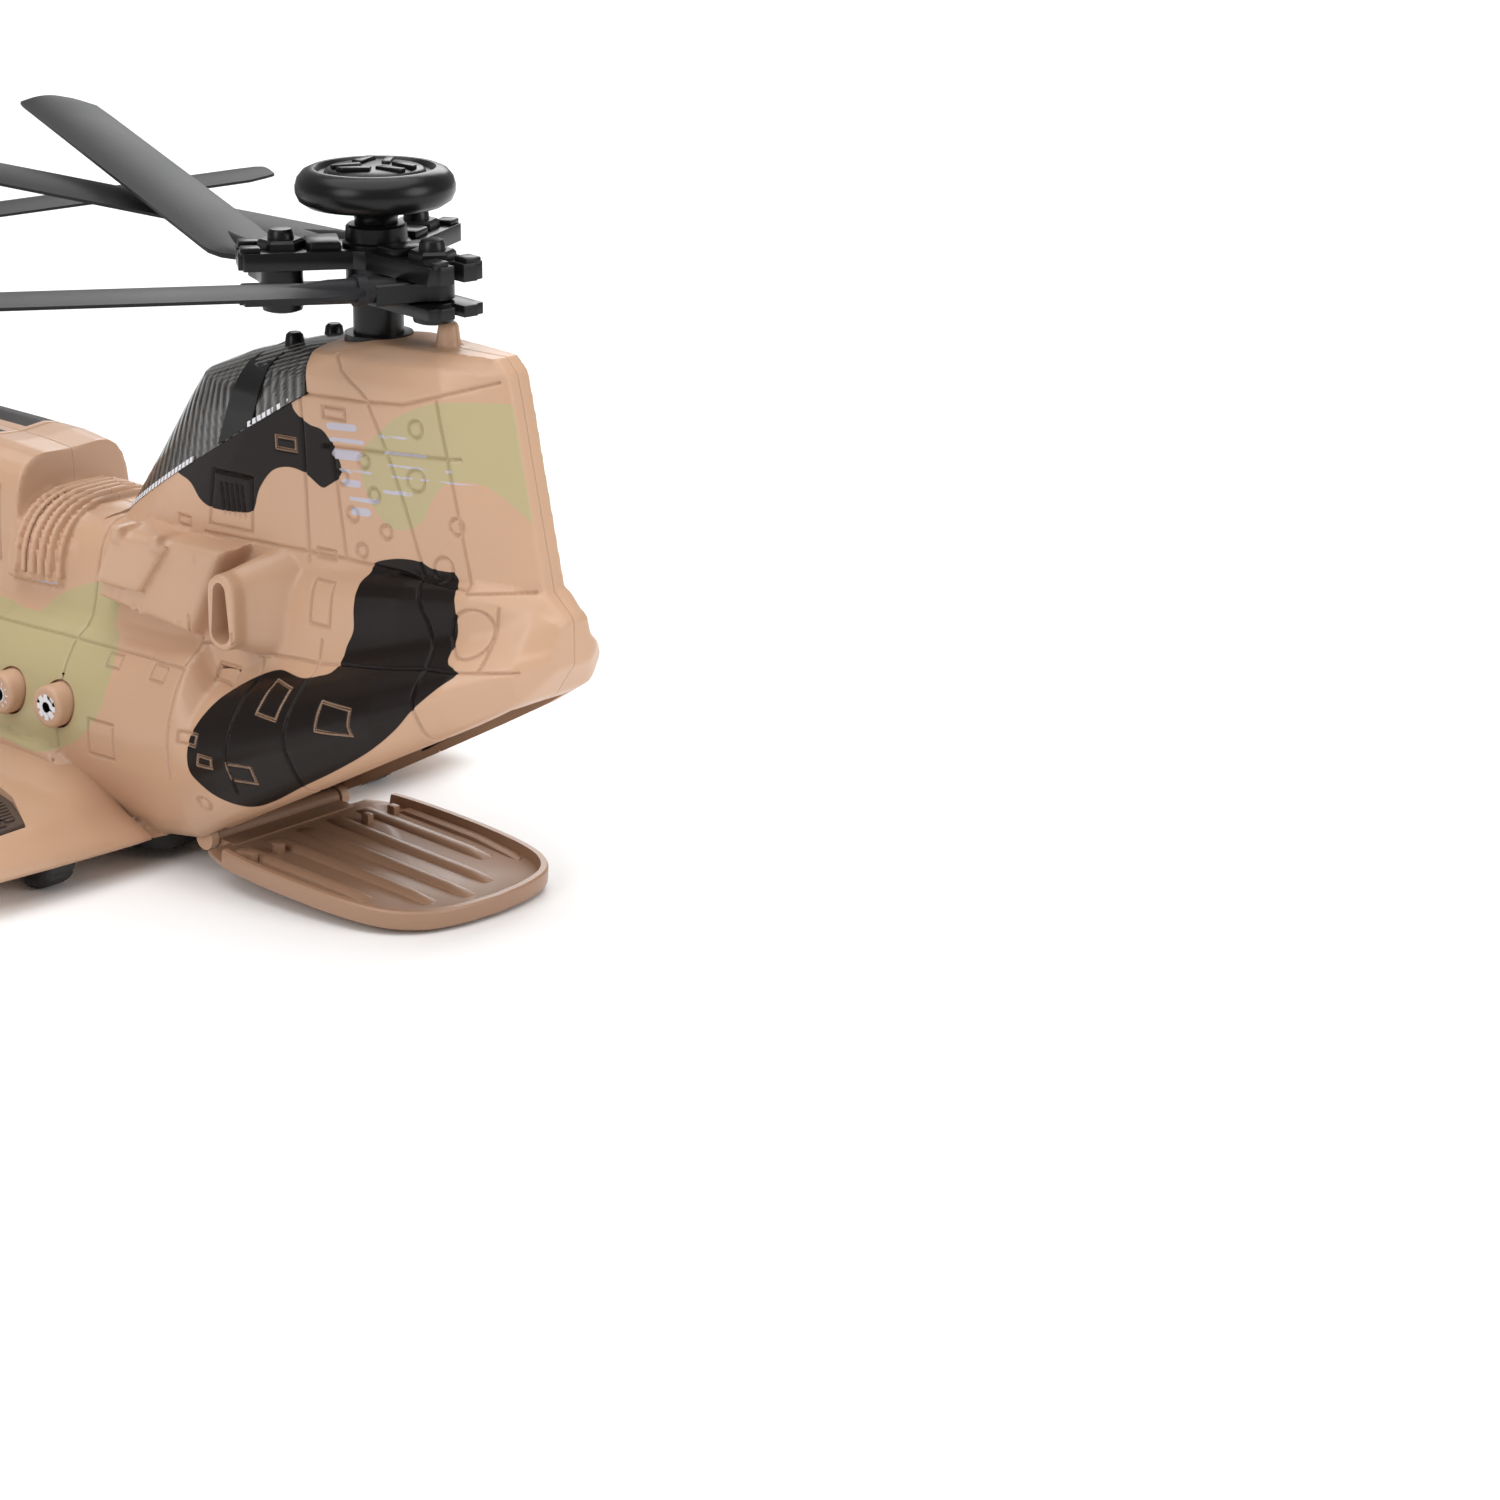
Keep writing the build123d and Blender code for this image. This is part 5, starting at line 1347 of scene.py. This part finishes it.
def buildRamp():
    look = rampLook
    tray = rampLoft("tray", [rampRing(1.0, look["low"]), rampRing(0.3, look["low"] + 0.4),
                             rampRing(0.0, look["low"] + 1.1), rampRing(0.0, look["rail"] - 0.5),
                             rampRing(0.4, look["rail"])])
    dish = rampLoft("dish", [rampRing(2.8, look["floor"]), rampRing(2.2, look["floor"] + 0.4),
                             rampRing(1.9, look["rail"] - 0.4), rampRing(1.5, look["rail"] + 0.5)])
    cutBy(tray, dish, "DIFFERENCE", "EXACT")
    cutter = boxSolid("notch", (-6.0, -31.0, look["floor"]), (12.0, 31.0, 6.0))
    layOnRamp(cutter)
    cutBy(tray, cutter, "DIFFERENCE", "EXACT")
    parts = [tray]
    for y, end in ((-19.0, 50.0), (-9.5, 60.0), (0.0, 63.0), (9.5, 60.0), (19.0, 50.0)):
        rows = []
        for s, grow in ((9.0, 0.25), (11.0, 0.9), (14.0, 1.0), (end - 6.0, 1.0), (end - 1.5, 0.6),
                        (end, 0.12)):
            ring = []
            for k in range(13):
                u = math.pi * k / 12
                ring.append((s, y + 2.1 * math.cos(u), look["floor"] - 0.2 + 1.35 * grow * math.sin(u)))
            rows.append([rampPoint(p) for p in ring + [(s, y - 1.0, look["floor"] - 0.4),
                                                       (s, y + 1.0, look["floor"] - 0.4)]])
        verts, faces = skinRings(rows)
        parts.append(meshObject("ridge", verts, faces, tanDark))
    for y in (-25.6, 25.6):
        rows = []
        for s, t in ((16.0, 0.1), (18.0, 0.9), (40.0, 0.9), (52.0, 0.5), (55.0, 0.0)):
            w = y * (1.0 if s < 46 else 0.955)
            rows.append([rampPoint((s, w + dy, look["floor"] - 0.3 + dt)) for dy, dt in
                         ((-1.6, 0.0), (-1.4, t + 0.2), (-0.6, t + 0.5), (0.6, t + 0.5), (1.4, t + 0.2),
                          (1.6, 0.0))])
        verts, faces = skinRings(rows)
        parts.append(meshObject("ledge", verts, faces, tanDark))
    for y in (-22.4, -14.0, 14.0, 22.4):
        peg = boxSolid("peg", (15.0, y - 1.0, look["floor"] - 0.2), (17.4, y + 1.0, 1.9))
        layOnRamp(peg)
        applyModifier(peg, "BEVEL", width=0.35 * mm, segments=2, limit_method="ANGLE", angle_limit=0.6)
        peg.data.materials.clear()
        peg.data.materials.append(tanDark)
        parts.append(peg)
    barrel = tubeSolid("hingeBarrel", (place(hingeAhead), -18.9, 8.0), 2.2, 37.8, axis="Y", mat=tanDark)
    cutBy(barrel, tubeSolid("pinHole", (place(hingeAhead), -30.0, 8.0), 1.06, 60.0, axis="Y"), "DIFFERENCE",
          "EXACT")
    web = boxSolid("web", (1.6, -18.8, look["low"]), (7.0, 18.8, 0.0), tanDark)
    layOnRamp(web)
    parts += [barrel, web]
    ramp = joinAll(parts, "ramp_tray")
    smoothByAngle(ramp, 38.0)
    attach(ramp, "ramp")
    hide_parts("tail_ramp")


tanDark = plainPlastic("tanRamp", (0.37, 0.215, 0.135), (0.345, 0.20, 0.125), 0.36)
buildRamp()
print("ramp done")

wingLook = {"ribs": 28, "ribStep": 1.9}
# distance from the middle: (ahead, z) outline, from the rear lower corner round the front to the rear top
wingRows = {
    22.0: [(50.5, 6.5), (90.0, 6.2), (130.0, 6.6), (141.0, 12.0), (130.0, 22.0), (96.0, 26.0), (76.0, 23.4),
           (60.0, 12.0)],
    32.0: [(50.5, 6.4), (90.0, 6.2), (130.0, 6.5), (139.0, 11.6), (127.0, 19.6), (96.0, 22.4), (72.0, 20.0),
           (57.0, 12.5)],
    42.0: [(51.0, 6.4), (90.0, 6.2), (128.0, 6.5), (135.5, 11.2), (124.5, 17.2), (94.0, 18.8), (66.0, 17.6),
           (54.5, 13.2)],
    56.0: [(51.5, 6.6), (90.0, 6.4), (126.0, 6.7), (132.6, 10.8), (122.0, 16.0), (92.0, 17.0), (62.0, 16.6),
           (53.6, 13.6)],
    74.0: [(52.5, 6.9), (90.0, 6.7), (123.0, 7.0), (128.5, 10.6), (119.0, 15.2), (92.0, 16.4), (63.0, 16.3),
           (54.8, 13.8)],
    78.6: [(54.0, 7.8), (90.0, 7.5), (120.0, 7.8), (124.5, 10.6), (117.0, 14.0), (92.0, 15.4), (64.0, 15.3),
           (56.4, 13.0)],
    80.0: [(57.0, 9.4), (90.0, 9.2), (116.0, 9.4), (119.0, 10.8), (114.0, 12.4), (92.0, 13.4), (66.0, 13.2),
           (59.0, 12.0)],
}
plateEdge = [(56.8, 57.5), (56.8, 76.0), (112.0, 76.0), (112.0, 46.0), (84.0, 44.6), (71.0, 49.0)]


def buildWing(side, key):
    rows = []
    outs = np.array(sorted(wingRows))
    for out in np.unique(np.concatenate([np.linspace(22.0, 74.0, 20), outs])):
        k = int(np.clip(np.searchsorted(outs, out, side="right") - 1, 0, len(outs) - 2))
        u = (out - outs[k]) / (outs[k + 1] - outs[k])
        a, b = np.array(wingRows[outs[k]]), np.array(wingRows[outs[k + 1]])
        rows.append((side * out, curveThrough((a + (b - a) * u).tolist(), 7)))
    wing = sideLoft("wing", rows, tanPrinted)
    edge = [(place(a), side * y) for a, y in plateEdge]
    cutBy(wing, prism("plateGap", edge, 15.1, 30.0, axis="Z", mat=tanPrinted), "DIFFERENCE", "EXACT")
    wheelX, wheelY = place(wheelSpots["rear"]), side * wheelSpots["out"]
    well = tubeSolid("well", (wheelX, wheelY - 5.0, wheelSpots["axle"]), 7.4, 10.0, axis="Y")
    cutBy(wing, well, "DIFFERENCE", "EXACT")
    slot = boxSolid("axleSlot", (wheelX - 1.22, wheelY - 9.0, 0.0), (wheelX + 1.22, wheelY + 9.0, 8.4))
    cutBy(wing, slot, "DIFFERENCE", "EXACT")
    inner = prism("hullSpace", [(60.0, -8.0), (140.0, -8.0), (140.0, 40.0), (45.0, 40.0), (45.0, -8.0)],
                  -27.5, 27.5)
    cutBy(wing, inner, "DIFFERENCE", "EXACT")
    applyModifier(wing, "BEVEL", width=0.3 * mm, segments=2, limit_method="ANGLE", angle_limit=0.9)
    smoothByAngle(wing, 40.0)
    wing.name = "wing_skin_" + key
    printShapes(wing)
    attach(wing, "hull")
    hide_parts("stub_wing_" + key)


# Dark cover let into the wing: a rim, fine ribs across, and two smooth bars
def buildPlate(side, key):
    pts = np.array(plateEdge)
    centre = pts.mean(axis=0)
    inset = [tuple(centre + (p - centre) * 0.985) for p in pts]
    base = prism("plateBase", [(place(a), side * y) for a, y in inset], 15.25, 16.5, axis="Z",
                 mat=brownPlate, bevel=0.25)
    parts = [base]
    for i in range(wingLook["ribs"]):
        a = 58.8 + wingLook["ribStep"] * i
        near = float(np.interp(a, [56.8, 71.0, 84.0, 112.0], [58.5, 50.5, 46.2, 47.6])) + 1.2
        for lo, hi in ((near, 60.0), (61.6, 74.4)):
            if hi - lo > 2.0:
                parts.append(prism("rib", [(place(a - 0.5), side * lo), (place(a + 0.5), side * lo),
                                           (place(a + 0.5), side * hi),
                                           (place(a - 0.5), side * hi)], 16.3, 17.15, axis="Z",
                                   mat=brownPlate, bevel=0.22))
    plate = joinAll(parts, "wing_cover_" + key)
    smoothByAngle(plate, 40.0)
    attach(plate, "hull")
    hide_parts("wing_plate_" + key)


# Tyre with cross grooves, a dished hub and a centre cap
def wheelPiece(name, centre, width):
    cx, cy, cz = centre
    half = width / 2
    profile = [(1.3, -half + 0.9), (3.2, -half + 0.9), (4.3, -half + 0.5), (4.8, -half), (6.1, -half),
               (6.8, -half + 0.5),
               (7.0, -half + 1.2), (7.0, half - 1.2), (6.8, half - 0.5), (6.1, half), (4.8, half),
               (4.3, half - 0.5),
               (3.2, half - 0.9), (1.3, half - 0.9)]
    count = 96
    verts, faces = [], []
    for r, y in profile:
        for k in range(count):
            t = 2 * math.pi * k / count
            cut = 0.35 if r > 6.7 and k % 8 in (0, 1) else 0.0
            verts.append((cx + (r - cut) * math.cos(t), cy + y, cz + (r - cut) * math.sin(t)))
    n = len(profile)
    for i in range(n):
        for k in range(count):
            a, b = i * count, ((i + 1) % n) * count
            m = (k + 1) % count
            faces.append((a + k, a + m, b + m, b + k))
    return meshObject(name, verts, faces, wheelRubber)


def buildWheels():
    for side, key in ((-1, "port"), (1, "starboard")):
        spot = (place(wheelSpots["rear"]), side * wheelSpots["out"], wheelSpots["axle"])
        wheel = wheelPiece("wheel_rear_" + key, spot, 8.0)
        smoothByAngle(wheel, 35.0)
        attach(wheel, "rear_wheel_" + key)
        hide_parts("rear_wheel_" + key)
    noseX = place(wheelSpots["nose"])
    pair = [wheelPiece("noseWheel", (noseX, y, wheelSpots["axle"]), 6.0) for y in (-9.0, 9.0)]
    pair = joinAll(pair, "wheel_nose_pair")
    smoothByAngle(pair, 35.0)
    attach(pair, "nose_wheels")
    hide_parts("nose_wheels")


for side, key in ((-1, "port"), (1, "starboard")):
    buildWing(side, key)
    buildPlate(side, key)
buildWheels()
print("wings and wheels done")

buttonLook = {"radius": 4.9, "face": -34.0, "iconLift": 0.06}


# Sun outline with a bolt in it
def iconSun(cx, cz):
    shapes = []
    shapes.append([(cx + r * math.cos(t), cz + r * math.sin(t)) for r,
                   span in ((2.0, range(25)), (1.7, range(24, -1, -1)))
                   for t in [2 * math.pi * k / 24 for k in span]])
    for k in range(12):
        t = 2 * math.pi * k / 12
        c, s = math.cos(t), math.sin(t)
        shapes.append([(cx + r * c - w * s, cz + r * s + w * c) for r,
                       w in ((2.5, -0.14), (3.3, -0.14), (3.3, 0.14), (2.5, 0.14))])
    shapes.append([(cx - 0.1, cz + 1.2), (cx - 0.8, cz - 0.15), (cx - 0.1, cz - 0.15), (cx + 0.05, cz + 0.2)])
    shapes.append([(cx + 0.1, cz - 1.2), (cx + 0.8, cz + 0.15), (cx + 0.1, cz + 0.15), (cx - 0.05, cz - 0.2)])
    return shapes


def iconGear(cx, cz):
    shapes = []
    outer = []
    for k in range(8):
        base = 2 * math.pi * k / 8
        for r, d in ((2.3, -0.30), (3.1, -0.20), (3.1, 0.20), (2.3, 0.30)):
            outer.append((cx + r * math.cos(base + d), cz + r * math.sin(base + d)))
    outer.append(outer[0])
    hole = [(cx + 1.25 * math.cos(2 * math.pi * k / 32), cz + 1.25 * math.sin(2 * math.pi * k / 32))
            for k in range(33)]
    shapes.append(outer + [(x, z) for x, z in reversed(hole)])
    return shapes


# Thin raised print, standing just off a face that looks to port
def flatIcon(name, shapes, y):
    bm = bmesh.new()
    for shape in shapes:
        ring = [bm.verts.new((x * mm, y * mm, z * mm)) for x, z in shape]
        bm.faces.new(ring)
    bmesh.ops.triangulate(bm, faces=bm.faces[:])
    made = bmesh.ops.extrude_face_region(bm, geom=bm.faces[:])
    for v in [g for g in made["geom"] if isinstance(g, bmesh.types.BMVert)]:
        v.co.y += 0.09 * mm
    mesh = bpy.data.meshes.new(name)
    bm.to_mesh(mesh)
    bm.free()
    mesh.materials.append(whiteInk)
    obj = bpy.data.objects.new(name, mesh)
    scene.collection.objects.link(obj)
    fixNormals(obj)
    return obj


def buildButtons():
    for key, icon in (("light_button", iconSun), ("sound_button", iconGear)):
        ahead = buttonSpots[key]
        face = buttonLook["face"]
        profile = [(0.4, face + 0.02), (3.6, face + 0.02), (4.2, face), (4.6, face + 0.25),
                   (4.9, face + 0.9), (4.9, face + 6.1),
                   (6.2, face + 6.15), (6.2, face + 6.85)]
        rings = []
        for r, y in profile:
            rings.append([(place(ahead) + r * math.cos(k * math.pi / 28), y,
                           buttonHeight + r * math.sin(k * math.pi / 28))
                          for k in range(56)])
        verts, faces = skinRings(rings)
        cap = meshObject("cap", verts, faces, tanPlain)
        smoothByAngle(cap, 35.0)
        ink = flatIcon("ink", icon(place(ahead), buttonHeight), face - buttonLook["iconLift"])
        button = joinAll([cap, ink], key + "_cap")
        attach(button, key)
        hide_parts(key)


buildButtons()
print("buttons done")

finishes = {
    "mast": blackPlastic, "bushing": blackPlastic, "retainer": blackPlastic, "spring": steel,
    "screw": steel, "axle": steel,
    "hinge_pin": steel, "cells": steel, "contacts": brass, "board": boardGreen, "dome": milky, "lamp": milky,
    "speaker": blackPlastic, "trough": tanInner, "battery_box": tanInner, "battery_door": tanPlain,
    "belly_pads": wheelRubber,
}
for node, obj in nodes.items():
    chosen = [mat for word, mat in finishes.items() if word in node]
    if "screw" in node:
        chosen = [steel]
    if chosen:
        for s in obj.material_slots:
            s.material = chosen[-1] if node != "battery_door" else tanPlain
        if not obj.material_slots:
            obj.data.materials.append(chosen[-1])
print("finishes done")
